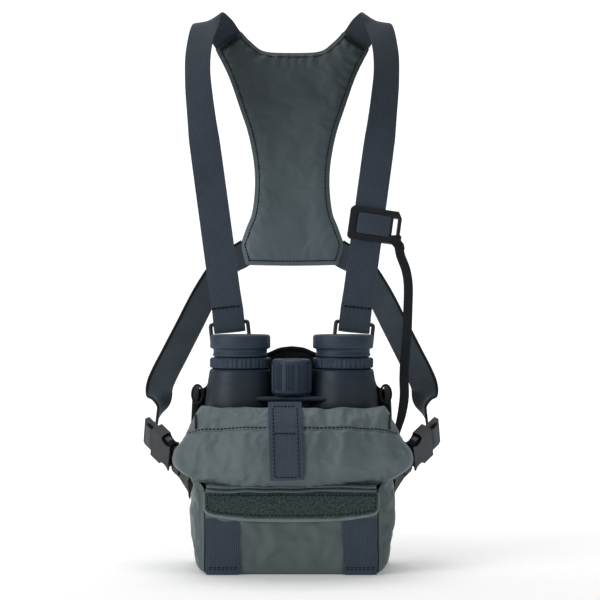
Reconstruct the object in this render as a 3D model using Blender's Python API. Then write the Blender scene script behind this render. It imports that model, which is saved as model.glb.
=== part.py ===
"""Binocular harness pack: a sewn chest pouch with a front-opening lid, a shoulder harness
with a padded back yoke, two side-release buckles and the binoculars that the pouch carries.

Units in this file are millimetres; solid() turns them into metres. +Z is up, the front of the
pouch faces -Y and +X is to the right. The origin is the centre of the pouch's flat bottom.
"""
import math

import bmesh
import bpy
from mathutils import Vector

MM = 0.001
GAP = 0.3                      # clearance between touching pieces
SIDES = {"left": -1, "right": 1}

# Pouch
GUSSET_X = 72.8                # outer face of the side gussets
FRONT_Y = -35.0                # outer face of the front panel
BACK_Y = 33.0                  # outer face of the back panel
SKIN = 2.0                     # coated fabric with its lining
FRONT_TOP = 62.0               # top seam of the front panel
REAR_TOP = 131.0               # gusset height where it meets the back panel
ARCH_TOP = 162.4               # crown of the back panel
FLOOR_FOAM = 12.0
BACK_PAD = 6.0
CORNER = 16.0                  # plan radius of the pouch's front corners
RIM_BINDING = (4.2, 2.0)       # width and thickness of the tape over the gussets' top edges
FRONT_WEB_X = 49.0             # middle of each front webbing
FRONT_WEB_TOP = 37.5
TRIM_SKIN = 1.6                # the flap under the loop strip
STRIP_SKIN = 1.8               # loop strip with its pile

# Webbing
WEB = 25.0                     # shoulder and front webbing width
SIDE_WEB = 20.0                # side strap width
WEB_THICK = 1.4

# Yoke
YOKE_Y = 98.0                  # face towards the wearer
YOKE_SKIN = 1.0
YOKE_FOAM = 5.0
YOKE_BASE = 227.0
YOKE_TOP = 395.2

# Binoculars
AXIS_X = 38.0                  # eyepiece axis from the middle
AXIS_Y = -1.5
BARREL_R = 26.0
EYECUP_R = 22.3
BINO_BASE = SKIN + GAP + FLOOR_FOAM + 0.7
BARREL_TOP = 156.0
NECK_R = 13.6                  # eyepiece housing inside the eyecup
NECK_TOP = 164.5
EYECUP_TOP = 172.5
KNOB_Y = -12.0
KNOB_R = 14.4
LUG_Z = 128.4                  # middle of the strap lug's loop
LUG_WIDE = 4.6
LUG_TALL = 7.6
LUG_WIRE = 1.6

# Lid
HINGE_Y = -40.0
HINGE_Z = 61.0
LID_SEAM_Z = 104.0
LID_TOP_Z = 120.0
LID_SKIN = 1.6
TAB_X = -3.6                   # middle of the lid's pull tab

# Buckle, measured along its own axes: u inwards along the strap, v along the bars, w through it
BUCKLE_OUTER = Vector((111.2, 32.0, 99.8))
BUCKLE_U = Vector((-0.66, -0.50, -0.56)).normalized()
BUCKLE_W = BUCKLE_U.cross(Vector((-0.10, -0.66, 0.74))).normalized()
BUCKLE_V = BUCKLE_W.cross(BUCKLE_U)
BUCKLE_HALF = 14.5             # half width along the bars
SOCKET_LENGTH = 34.0
SOCKET_THICK = 9.0
FRAME_HALF = 1.3               # half thickness of the socket's webbing frame
FRAME_BAR = (4.6, 9.4)         # the bar that the webbing wraps, between two slots
FRAME_SLOTS = ((2.1, FRAME_BAR[0]), (FRAME_BAR[1], 12.0))
BODY_START = 12.8
PLUG_START = SOCKET_LENGTH + 0.6
PLUG_LENGTH = 16.6
PLUG_HALF = 13.4
BUCKLE_LENGTH = PLUG_START + PLUG_LENGTH
PRONG_ROOT = 8.1               # how far the prongs' roots stand from the middle
PRONG_HALF = 2.2
BAR_RADIUS = 4.0               # centre line of webbing round the plug's bar
FRAME_WRAP = 2.75              # centre line of webbing round the frame's bar

# Keeper on the right shoulder strap
KEEPER_Z = 256.0

COLOURS = {
    "coated_fabric": ((0.105, 0.130, 0.138), 0.55, 0.0),
    "yoke_fabric": ((0.060, 0.078, 0.082), 0.60, 0.0),
    "webbing": ((0.035, 0.045, 0.058), 0.80, 0.0),
    "loop_pile": ((0.030, 0.050, 0.048), 0.95, 0.0),
    "binding": ((0.008, 0.009, 0.010), 0.75, 0.0),
    "foam": ((0.030, 0.032, 0.034), 0.90, 0.0),
    "buckle": ((0.030, 0.033, 0.038), 0.45, 0.0),
    "wire": ((0.012, 0.012, 0.013), 0.40, 0.3),
    "armour": ((0.018, 0.026, 0.034), 0.60, 0.0),
    "rubber": ((0.030, 0.042, 0.055), 0.55, 0.0),
    "lens": ((0.020, 0.030, 0.045), 0.05, 0.0),
}


def clear_scene():
    for item in list(bpy.data.objects):
        bpy.data.objects.remove(item, do_unlink=True)


def material(slot):
    found = bpy.data.materials.get(slot)
    if found:
        return found
    colour, roughness, metallic = COLOURS[slot]
    made = bpy.data.materials.new(slot)
    made.use_nodes = True
    shader = made.node_tree.nodes["Principled BSDF"]
    shader.inputs["Base Color"].default_value = (*colour, 1.0)
    shader.inputs["Roughness"].default_value = roughness
    shader.inputs["Metallic"].default_value = metallic
    return made


def solid(name, points, faces, slot, origin=(0, 0, 0), smooth=False):
    """One closed body from points in millimetres, with its object origin at origin."""
    origin = Vector(origin)
    bm = bmesh.new()
    verts = [bm.verts.new((Vector(p) - origin) * MM) for p in points]
    for face in faces:
        bm.faces.new([verts[i] for i in face])
    bmesh.ops.recalc_face_normals(bm, faces=bm.faces)
    mesh = bpy.data.meshes.new(name)
    bm.to_mesh(mesh)
    bm.free()
    if smooth:
        mesh.shade_smooth()
        mesh.set_sharp_from_angle(angle=math.radians(35))
    obj = bpy.data.objects.new(name, mesh)
    bpy.context.collection.objects.link(obj)
    obj.location = origin * MM
    mesh.materials.append(material(slot))
    return obj


def loft(rings, closed=False):
    """Points and faces of a body through equal rings; closed joins the last ring to the first."""
    count = len(rings[0])
    points = [p for ring in rings for p in ring]
    faces = []
    spans = len(rings) if closed else len(rings) - 1
    for i in range(spans):
        a = i * count
        b = ((i + 1) % len(rings)) * count
        for k in range(count):
            m = (k + 1) % count
            faces.append((a + k, a + m, b + m, b + k))
    if not closed:
        faces.append(tuple(range(count)))
        faces.append(tuple(range((len(rings) - 1) * count, len(rings) * count)))
    return points, faces


def cut(obj, name, points, faces):
    """Take a hidden cutter away from obj."""
    cutter = solid(name, points, faces, "foam")
    cutter.hide_render = True
    cutter.display_type = "WIRE"
    modifier = obj.modifiers.new(name, "BOOLEAN")
    modifier.operation = "DIFFERENCE"
    modifier.solver = "EXACT"
    modifier.object = cutter


def block(lo, hi, place=None):
    """Points and faces of a box, optionally moved by place(a, b, c)."""
    rings = []
    for a in (lo[0], hi[0]):
        rings.append([(a, lo[1], lo[2]), (a, hi[1], lo[2]), (a, hi[1], hi[2]), (a, lo[1], hi[2])])
    if place:
        rings = [[place(*p) for p in ring] for ring in rings]
    return loft(rings)


def plate(outline, near, far, place):
    """Points and faces of an outline thickened from near to far."""
    return loft([[place(a, b, near) for a, b in outline], [place(a, b, far) for a, b in outline]])


def along_y(x, z, y):
    return (x, y, z)


def along_x(y, z, x):
    return (x, y, z)


def along_z(x, y, z):
    return (x, y, z)


def arc(centre, radius, start, end, steps):
    """Points on an arc, angles in degrees."""
    out = []
    for i in range(steps + 1):
        angle = math.radians(start + (end - start) * i / steps)
        out.append((centre[0] + radius * math.cos(angle), centre[1] + radius * math.sin(angle)))
    return out


def turned(profile, centre, segments=32):
    """Points and faces of a body turned about a vertical axis; profile runs (radius, z)."""
    rings = []
    for k in range(segments):
        angle = 2 * math.pi * k / segments
        ring = [(centre[0] + r * math.cos(angle), centre[1] + r * math.sin(angle), z) for r, z in profile]
        rings.append(ring)
    return loft(rings, closed=True)


def stack(profile, centre, segments=32):
    """Points and faces of a body with flat ends through circles; profile runs (radius, z, x shift)."""
    rings = []
    for r, z, shift in profile:
        ring = []
        for k in range(segments):
            angle = 2 * math.pi * k / segments
            ring.append((centre[0] + shift + r * math.cos(angle), centre[1] + r * math.sin(angle), z))
        rings.append(ring)
    return loft(rings)


def smooth_path(points, per_span):
    """Points on a Catmull-Rom curve through the route's own points."""
    route = [Vector(p) for p in points]
    padded = [route[0] * 2 - route[1]] + route + [route[-1] * 2 - route[-2]]
    out = []
    for i in range(1, len(padded) - 2):
        a, b, c, d = padded[i - 1:i + 3]
        for k in range(per_span):
            t = k / per_span
            out.append(0.5 * (2 * b + (c - a) * t + (2 * a - 5 * b + 4 * c - d) * t * t
                              + (3 * b - a - 3 * c + d) * t * t * t))
    out.append(route[-1])
    return out


def ribbon(path, sides, width, thick):
    """Points and faces of a flat strap along path; sides point across it."""
    rings = []
    for i, point in enumerate(path):
        before = path[max(i - 1, 0)]
        after = path[min(i + 1, len(path) - 1)]
        forward = (after - before).normalized()
        across = Vector(sides[i])
        across = (across - forward * across.dot(forward)).normalized()
        out = forward.cross(across) * (thick / 2)
        half = across * (width / 2)
        rings.append([point - half - out, point + half - out, point + half + out, point - half + out])
    return loft(rings)


def mirrored(shape, side):
    """The same points on the left (-1) or right (+1) side."""
    points, faces = shape
    return [(p[0] * side, p[1], p[2]) for p in points], faces


# Pouch

def front_outline(inset):
    """Plan of the front panel's corners: (x, y) from the left seam to the right seam."""
    radius = CORNER - inset
    centre_x = GUSSET_X - CORNER
    centre_y = FRONT_Y + CORNER
    left = arc((-centre_x, centre_y), radius, 180, 270, 5)
    right = arc((centre_x, centre_y), radius, 270, 360, 5)
    return left + right


def make_pouch():
    plan = front_outline(0) + front_outline(SKIN)[::-1]
    solid("front_panel", *plate(plan, 0.0, FRONT_TOP, along_z), "coated_fabric", smooth=True)

    seam_y = FRONT_Y + CORNER + GAP
    low_x = GUSSET_X - SKIN
    rear = BACK_Y - SKIN - GAP
    for name, side in SIDES.items():
        rim = [(rear, REAR_TOP), (14.0, REAR_TOP - 2.0), (-4.0, 112.0), (seam_y, 84.0)]
        shape = plate([(seam_y, 0.0), (rear, 0.0)] + rim, low_x, low_x + SKIN, along_x)
        solid("gusset_" + name, *mirrored(shape, side), "coated_fabric")
        path = [Vector((low_x + SKIN / 2, y - 0.4, z + 1.6)) for y, z in rim]
        tape = ribbon(path, [(1, 0, 0)] * len(path), *RIM_BINDING)
        solid("rim_binding_" + name, *mirrored(tape, side), "binding")

    shoulder = [(GUSSET_X, 0.0), (GUSSET_X, 126.0), (71.0, 129.5), (66.0, REAR_TOP)]
    rise = [(63.0, 134.0), (61.0, 140.0), (58.0, 146.0), (54.0, 149.0)]
    crown = [(42.0, 152.5), (32.0, 153.6), (17.0, 157.8), (0.0, ARCH_TOP)]
    half = shoulder + rise + crown
    outline = half + [(-x, z) for x, z in half[-2::-1]]
    solid("back_panel", *plate(outline, BACK_Y - SKIN, BACK_Y, along_y), "coated_fabric")

    inset = 6.0
    pad_half = [(GUSSET_X - inset, inset), (GUSSET_X - inset, 116.0), (52.0, 135.0), (0.0, 142.0)]
    pad_outline = pad_half + [(-x, z) for x, z in pad_half[-2::-1]]
    pad = plate(pad_outline, BACK_Y + GAP, BACK_Y + GAP + BACK_PAD, along_y)
    solid("back_pad", *pad, "foam")

    floor_plan = front_outline(SKIN + GAP) + [(low_x - GAP, rear), (GAP - low_x, rear)]
    solid("base_panel", *plate(floor_plan, 0.0, SKIN, along_z), "coated_fabric")
    foam_low = SKIN + GAP
    foam = plate(floor_plan, foam_low, foam_low + FLOOR_FOAM, along_z)
    solid("base_foam", *foam, "foam")


def make_front_trim():
    face = FRONT_Y - GAP
    near, far = FRONT_WEB_X - WEB / 2, FRONT_WEB_X + WEB / 2
    for name, side in SIDES.items():
        shape = block((near, face - WEB_THICK, 1.0), (far, face, FRONT_WEB_TOP))
        solid("front_webbing_" + name, *mirrored(shape, side), "webbing")

    half = [(0.0, 38.0), (30.0, 38.8), (52.0, 40.6), (61.8, 43.4), (63.2, 48.0), (63.2, 58.5), (0.0, 58.5)]
    outline = half + [(-x, z) for x, z in half[-2:0:-1]]
    solid("front_flap", *plate(outline, face - TRIM_SKIN, face, along_y), "coated_fabric")
    half = [(0.0, 41.0), (30.0, 41.6), (52.0, 43.2), (61.0, 45.6), (62.0, 50.0), (62.0, 58.0), (0.0, 58.0)]
    outline = half + [(-x, z) for x, z in half[-2:0:-1]]
    strip_face = face - TRIM_SKIN - GAP
    solid("loop_strip", *plate(outline, strip_face - STRIP_SKIN, strip_face, along_y), "loop_pile")

    cross = [(face, 59.0), (face, 61.8), (face - 2.6, 60.9), (face - 2.8, 59.0)]
    solid("hinge_strip", *plate(cross, -60.0, 60.0, along_x), "coated_fabric")


# Lid

LID_SECTION = [(-43.0, 63.6), (-50.5, 68.0), (-57.5, 79.0), (-59.0, 91.0), (-55.5, LID_SEAM_Z)]
LID_HALF_WIDTHS = [66.0, 79.0, 86.0, 86.0, 82.0]
SKIRT_SECTION = [(-55.0, LID_SEAM_Z + 3 * GAP), (-49.0, 113.5), (-38.5, LID_TOP_Z)]
SKIRT_HALF_WIDTHS = [81.5, 75.0, 66.0]
LID_CURVE = 0.0032             # how far the ends of the lid run back, per mm squared


def lid_slab(section, half_widths, depth_in, thick, columns, trim):
    """A curved sheet of the lid: its section in y and z, its half width at each section point."""
    rings = []
    for level, (y, z) in enumerate(section):
        low = section[max(level - 1, 0)]
        high = section[min(level + 1, len(section) - 1)]
        tangent = Vector((high[0] - low[0], high[1] - low[1])).normalized()
        inward = Vector((tangent[1], -tangent[0]))
        ring = []
        for offset, order in ((depth_in, 1), (depth_in + thick, -1)):
            half = half_widths[level] - trim
            row = []
            for k in range(columns + 1):
                x = -half + 2 * half * k / columns
                row.append((x, y + inward[0] * offset + LID_CURVE * x * x, z + inward[1] * offset))
            ring += row[::order]
        rings.append(ring)
    return loft(rings)


def make_lid():
    axis = (0.0, HINGE_Y, HINGE_Z)
    panel = lid_slab(LID_SECTION, LID_HALF_WIDTHS, 0.0, LID_SKIN, 12, 0.0)
    solid("lid_panel", *panel, "coated_fabric", axis, smooth=True)
    skirt = lid_slab(SKIRT_SECTION, SKIRT_HALF_WIDTHS, 0.0, LID_SKIN, 12, 0.0)
    solid("lid_skirt", *skirt, "coated_fabric", axis, smooth=True)
    lining = lid_slab(LID_SECTION[1:4], LID_HALF_WIDTHS[1:4], LID_SKIN + GAP, 2.5, 12, 6.0)
    solid("lid_lining", *lining, "foam", axis, smooth=True)
    tab_line = [(y - 0.2, z) for y, z in LID_SECTION[1:]] + [(-49.6, 113.9), (-38.5, 121.4), (-37.0, 125.0)]
    path = [Vector((TAB_X, y - WEB_THICK / 2 - 0.9, z + 0.5)) for y, z in tab_line]
    solid("lid_tab", *ribbon(path, [(1, 0, 0)] * len(path), WEB, WEB_THICK), "webbing", axis)


# Yoke

def yoke_outline(inset):
    """Hourglass outline, clockwise from the top middle."""
    half = [(0.0, YOKE_TOP), (14.0, YOKE_TOP + 0.2), (26.5, YOKE_TOP + 3.0), (32.0, YOKE_TOP + 7.6),
            (41.5, YOKE_TOP + 17.3), (60.7, YOKE_TOP + 3.8), (50.2, 378.0), (40.7, 351.0), (34.2, 331.0),
            (29.8, 308.0), (29.0, 288.0), (31.2, 268.0), (35.7, 256.0), (40.7, 242.0), (36.4, YOKE_BASE)]
    middle_z = (YOKE_TOP + YOKE_BASE) / 2
    half = [(x * (1 - inset / 45.0), z + (middle_z - z) * inset / 95.0) for x, z in half]
    return half + [(-x, z) for x, z in half[:0:-1]]


def make_yoke():
    y = YOKE_Y
    layers = (("yoke_lining", YOKE_SKIN, 0.0, "yoke_fabric"), ("yoke_foam", YOKE_FOAM, 1.5, "foam"),
              ("yoke_shell", YOKE_SKIN, 0.0, "yoke_fabric"))
    for name, thick, inset, slot in layers:
        solid(name, *plate(yoke_outline(inset), y, y + thick, along_y), slot)
        y += thick + GAP


# Straps

STRAP_FOOT = Vector((-47.5, 36.0, 176.2))      # centre of the ring's upper bar, left side
STRAP_UP = Vector((-0.105, 0.085, 0.99)).normalized()
SHOULDER_ROUTE = [
    (-51.4, 38.6, 205.0), (-65.3, 47.4, 305.0), (-69.5, 52.5, 335.0), (-73.3, 59.5, 372.0),
    (-72.4, 67.5, 397.0), (-66.6, 79.5, 417.5), (-58.4, 91.5, 414.8), (-52.1, 100.5, 407.1),
]
SHOULDER_SIDES = [
    (1, -0.05, 0.10), (1, -0.05, 0.10), (0.93, -0.35, 0.08), (0.84, -0.52, 0.08),
    (0.85, -0.40, 0.20), (0.93, -0.05, 0.35), (0.87, 0.0, 0.48), (0.818, 0.0, 0.575),
]
RING_HALF = 14.3               # half length of the ring's long bars
RING_HEIGHT = 12.6             # between the bars' centre lines
RING_WIRE = 1.3


def bar_loop(centre, up, forward, radius, turn_from, turn_to, steps):
    """Points round a bar: up and forward span the plane across the bar, angles from forward."""
    out = []
    for i in range(steps + 1):
        angle = math.radians(turn_from + (turn_to - turn_from) * i / steps)
        out.append(centre + forward * (radius * math.cos(angle)) + up * (radius * math.sin(angle)))
    return out


def strap_axes():
    across = Vector((1.0, 0.0, 0.106))
    across = (across - STRAP_UP * across.dot(STRAP_UP)).normalized()
    forward = across.cross(STRAP_UP).normalized()
    if forward.y > 0:
        forward = -forward
    return across, forward


def shoulder_shape():
    """The strap with its end turned up behind the ring bar, from the hem to the yoke."""
    across, forward = strap_axes()
    radius = RING_WIRE + GAP + WEB_THICK / 2
    hem = STRAP_FOOT - forward * (WEB_THICK / 2 + 0.9) + STRAP_UP * 15.5
    start = STRAP_FOOT - forward * radius + STRAP_UP * 5.0
    turn = bar_loop(STRAP_FOOT, STRAP_UP, forward, radius, 180, 360, 6)
    rise = STRAP_FOOT + forward * (WEB_THICK / 2 + 0.4) + STRAP_UP * 15.5
    rest = smooth_path(SHOULDER_ROUTE, 4)
    # the straight stretch that the keeper slides on needs no points of its own
    path = [hem, start] + turn + [rise] + [rest[0]] + rest[4:]
    sides_smooth = smooth_path(SHOULDER_SIDES, 4)
    sides = [across] * (len(turn) + 3) + [sides_smooth[0]] + sides_smooth[4:]
    return ribbon(path, sides, WEB, WEB_THICK)


def ring_shape(side):
    """The rectangular ring: a square wire loop through two bars."""
    across, forward = strap_axes()
    centre = STRAP_FOOT - STRAP_UP * (RING_HEIGHT / 2)
    rings = []
    corners = [(-1, -1), (1, -1), (1, 1), (-1, 1)]
    for a, b in corners:
        middle = centre + across * (a * RING_HALF) + STRAP_UP * (b * RING_HEIGHT / 2)
        outward = (across * a + STRAP_UP * b) * RING_WIRE
        ring = []
        for k in range(8):
            angle = 2 * math.pi * (k + 0.5) / 8
            ring.append(middle + outward * math.cos(angle) + forward * (RING_WIRE * math.sin(angle)))
        rings.append(ring)
    points, faces = loft(rings, closed=True)
    return mirrored((points, faces), -side)


def ring_loop_shape():
    """Webbing loop from the back panel round the ring's lower bar."""
    across, forward = strap_axes()
    bar = STRAP_FOOT - STRAP_UP * RING_HEIGHT
    radius = RING_WIRE + GAP + WEB_THICK / 2
    turn = bar_loop(bar, STRAP_UP, forward, radius, 0, 180, 6)
    inside = BACK_Y - SKIN - 2 * GAP - WEB_THICK / 2
    outside = BACK_Y + 2 * GAP + WEB_THICK / 2
    path = [Vector((bar.x, inside, 132.0)), Vector((bar.x, inside, 157.0))] + turn
    path += [Vector((bar.x, outside, 157.0)), Vector((bar.x, outside, 143.5))]
    return ribbon(path, [across] * len(path), WEB - 1.0, WEB_THICK)


SIDE_ROUTE = [
    (41.6, 101.6, 233.0), (53.5, 100.0, 225.5), (68.5, 95.0, 203.0), (81.2, 81.0, 177.0),
    (91.0, 68.5, 156.5), (99.0, 56.5, 139.5), (102.0, 51.0, 130.0),
]


def side_strap_line():
    """Middle line of the side strap and the direction across it at each point."""
    path = smooth_path(SIDE_ROUTE, 3)
    facing = Vector((-0.2, -0.98, 0.0))
    sides = []
    for i in range(len(path)):
        forward = path[min(i + 1, len(path) - 1)] - path[max(i - 1, 0)]
        sides.append(forward.cross(facing).normalized())
    return path, sides


def buckle_point(u, v, w):
    return BUCKLE_OUTER + BUCKLE_U * u + BUCKLE_V * v + BUCKLE_W * w


def tail_shape():
    """The twisted stretch that turns the strap on edge and takes it behind the socket's frame."""
    line, line_sides = side_strap_line()
    onwards = (line[-1] - line[-2]).normalized()
    top = line[-1] + onwards * 4 * GAP
    middle = sum(FRAME_BAR) / 2
    end = buckle_point(middle, 0.0, FRAME_WRAP + 2 * WEB_THICK)
    turn = [top + onwards * 3.0, Vector((101.4, 46.0, 119.5)), Vector((102.6, 41.0, 110.0)), end]
    path = [top] + smooth_path(turn, 4)
    last = -BUCKLE_V
    sides = []
    for i in range(len(path)):
        t = min(1.0, i / (len(path) - 4))
        sides.append(line_sides[-1].lerp(last, t * t * (3 - 2 * t)).normalized())
    return ribbon(path, sides, SIDE_WEB - 1.0, WEB_THICK)


def end_loop_shape():
    """Webbing wrapped round the bar of the socket's frame, open behind it."""
    near, far = FRAME_BAR[0] + FRAME_HALF, FRAME_BAR[1] - FRAME_HALF
    path = [buckle_point(far - 1.0, 0, FRAME_WRAP)]
    for centre, start in ((far, 90), (near, 270)):
        for k in range(7):
            angle = math.radians(start - 30 * k)
            along = centre + FRAME_WRAP * math.cos(angle)
            path.append(buckle_point(along, 0, FRAME_WRAP * math.sin(angle)))
    path.append(buckle_point(near + 0.6, 0, FRAME_WRAP))
    return ribbon(path, [BUCKLE_V] * len(path), SIDE_WEB, WEB_THICK)


def side_tab_shape():
    """Webbing from the gusset round the plug's bar and back to the gusset."""
    face = GUSSET_X + GAP + WEB_THICK / 2
    down = Vector((0.0, BUCKLE_U.y, BUCKLE_U.z)).normalized()
    bar = buckle_point(BUCKLE_LENGTH - 1.5, 0, 0)

    def on_gusset(layer, distance):
        point = bar + down * distance
        return Vector((face + layer * (WEB_THICK + GAP), point.y, point.z))

    path = [on_gusset(0, 27.0), on_gusset(0, 9.5)]
    flat = Vector((0.0, BUCKLE_V.y, BUCKLE_V.z)).normalized()
    sides = [flat] * 2 + [BUCKLE_V] * 7 + [flat] * 2
    for i in range(7):
        angle = math.radians(90 + 30 * i)
        along = BUCKLE_LENGTH - 1.5 + BAR_RADIUS * math.cos(angle)
        path.append(buckle_point(along, 0, BAR_RADIUS * math.sin(angle)))
    path += [on_gusset(1, 15.5), on_gusset(1, 27.0)]
    return ribbon(path, sides, SIDE_WEB, WEB_THICK)


def make_harness():
    for name, side in SIDES.items():
        solid("shoulder_strap_" + name, *mirrored(shoulder_shape(), -side), "webbing")
        solid("strap_ring_" + name, *ring_shape(side), "wire")
        solid("ring_loop_" + name, *mirrored(ring_loop_shape(), -side), "webbing")
        strap = ribbon(*side_strap_line(), SIDE_WEB, WEB_THICK)
        solid("side_strap_" + name, *mirrored(strap, side), "webbing")
        solid("side_strap_tail_" + name, *mirrored(tail_shape(), side), "webbing")
        solid("strap_end_loop_" + name, *mirrored(end_loop_shape(), side), "webbing")
        solid("side_tab_" + name, *mirrored(side_tab_shape(), side), "webbing")


# Buckles

def make_socket(name, side):
    half = BUCKLE_HALF
    outline = [(0.0, -half + 2), (2.0, -half), (SOCKET_LENGTH, -half), (SOCKET_LENGTH, half),
               (2.0, half), (0.0, half - 2)]
    shape = plate(outline, -SOCKET_THICK / 2, SOCKET_THICK / 2, buckle_point)
    origin = buckle_point(0, 0, 0)
    origin.x *= side
    socket = solid("buckle_socket_" + name, *mirrored(shape, side), "buckle", origin)
    over = SOCKET_THICK
    inner = half - 2.6
    room = PRONG_HALF + 0.7
    pocket = block((BODY_START + 5.0, -inner, -room), (SOCKET_LENGTH + 2, inner, room), buckle_point)
    cut(socket, "socket_pocket_" + name, *mirrored(pocket, side))
    for number, (start, end) in enumerate(FRAME_SLOTS):
        slot = block((start, -11.0, -over), (end, 11.0, over), buckle_point)
        cut(socket, "socket_slot_%d_%s" % (number + 1, name), *mirrored(slot, side))
    for edge, sign in (("upper", 1), ("lower", -1)):
        low, high = sorted((sign * (inner - 0.9), sign * (half + 2)))
        window = block((SOCKET_LENGTH - 11.0, low, -room), (SOCKET_LENGTH + 2, high, room), buckle_point)
        cut(socket, "socket_window_" + edge + "_" + name, *mirrored(window, side))
        scallop = arc((SOCKET_LENGTH - 5.0, sign * (half + 1.5)), 5.6, 0, 330, 11)
        shape = plate(scallop, -over, over, buckle_point)
        cut(socket, "socket_scallop_" + edge + "_" + name, *mirrored(shape, side))
    for face, low, high in (("front", -over, -FRAME_HALF), ("rear", FRAME_HALF, over)):
        thin = block((-1.0, -half - 1, low), (BODY_START, half + 1, high), buckle_point)
        cut(socket, "socket_thin_" + face + "_" + name, *mirrored(thin, side))


def make_plug(name, side):
    half = PLUG_HALF
    tongue = PLUG_START - 13.6
    outline = [(PLUG_START, -half + 2), (PLUG_START + 2, -half), (BUCKLE_LENGTH, -half),
               (BUCKLE_LENGTH, half), (PLUG_START + 2, half), (PLUG_START, half - 2),
               (PLUG_START, 2.2), (tongue, 2.2), (tongue - 1, 1.2), (tongue - 1, -1.2), (tongue, -2.2),
               (PLUG_START, -2.2)]
    origin = buckle_point(PLUG_START, 0, 0)
    origin.x *= side
    shape = plate(outline, -1.8, 1.8, buckle_point)
    plug = solid("buckle_plug_" + name, *mirrored(shape, side), "buckle", origin)
    slot = block((BUCKLE_LENGTH - 8.2, -11.0, -5.0), (BUCKLE_LENGTH - 3.0, 11.0, 5.0), buckle_point)
    cut(plug, "plug_slot_" + name, *mirrored(slot, side))
    for edge, sign in (("upper", 1), ("lower", -1)):
        root = PLUG_START - GAP
        reach = [(0.0, 6.6), (0.0, 9.6), (1.8, 12.2), (5.3, 13.6), (9.3, 13.2), (11.7, 11.2),
                 (13.7, 10.6), (14.3, 8.4), (12.3, 7.2)]
        outline = [(root - back, v * sign) for back, v in reach]
        pivot = buckle_point(root, sign * PRONG_ROOT, 0)
        pivot.x *= side
        shape = plate(outline, -PRONG_HALF, PRONG_HALF, buckle_point)
        solid("prong_" + edge + "_" + name, *mirrored(shape, side), "buckle", pivot)


# Keeper and tether

def keeper_point(a, b, c):
    """a across the strap towards the outside, b up along it, c out of its front."""
    bottom, top = Vector(SHOULDER_ROUTE[0]), Vector(SHOULDER_ROUTE[1])
    share = (KEEPER_Z - bottom.z) / (top.z - bottom.z)
    centre = bottom.lerp(top, share)
    up = (top - bottom).normalized()
    across = Vector((1.0, -0.05, 0.10))
    across = (across - up * across.dot(up)).normalized()
    out = up.cross(across).normalized()
    if out.y > 0:
        out = -out
    point = centre - across * a + up * b + out * c
    return Vector((-point.x, point.y, point.z))


def make_keeper():
    left, right, half = -14.8, 24.9, 12.6
    outline = [(left, -half + 2), (left + 2, -half), (right - 3, -half), (right, -half + 4),
               (right, half - 5), (right - 3, half), (left + 2, half), (left, half - 2)]
    origin = keeper_point(0, 0, 0)
    keeper = solid("keeper", *plate(outline, -3.2, 3.4, keeper_point), "buckle", origin)
    passage = block((-13.1, -half - 2, -1.3), (13.1, half + 2, 1.3), keeper_point)
    cut(keeper, "keeper_passage", *passage)
    window = block((-9.8, -7.6, -0.5), (16.2, 7.6, 6.0), keeper_point)
    cut(keeper, "keeper_window", *window)
    slot = block((18.6, -7.4, -6.0), (22.4, 7.4, 6.0), keeper_point)
    cut(keeper, "keeper_slot", *slot)


TETHER_ROUTE = [
    (82.0, 39.4, 239.2), (83.0, 37.8, 232.0), (86.9, 34.5, 220.8), (88.4, 30.0, 208.6),
    (87.8, 25.0, 192.5), (86.6, 18.0, 172.4), (84.5, 11.0, 152.4), (83.7, 7.0, 139.1),
    (83.6, 2.0, 126.2), (81.4, -2.5, 113.2), (78.9, -6.0, 104.5), (76.8, -8.5, 96.0),
]
TETHER_WIDTH = 7.0


def make_tether():
    path = smooth_path(TETHER_ROUTE, 2)
    sides = []
    for i in range(len(path)):
        share = i / (len(path) - 1)
        angle = math.radians(8 + 62 * max(0.0, share - 0.72) / 0.28)
        sides.append((math.cos(angle), -math.sin(angle), 0.0))
    solid("tether", *ribbon(path, sides, TETHER_WIDTH, 1.2), "binding")


# Binoculars

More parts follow.
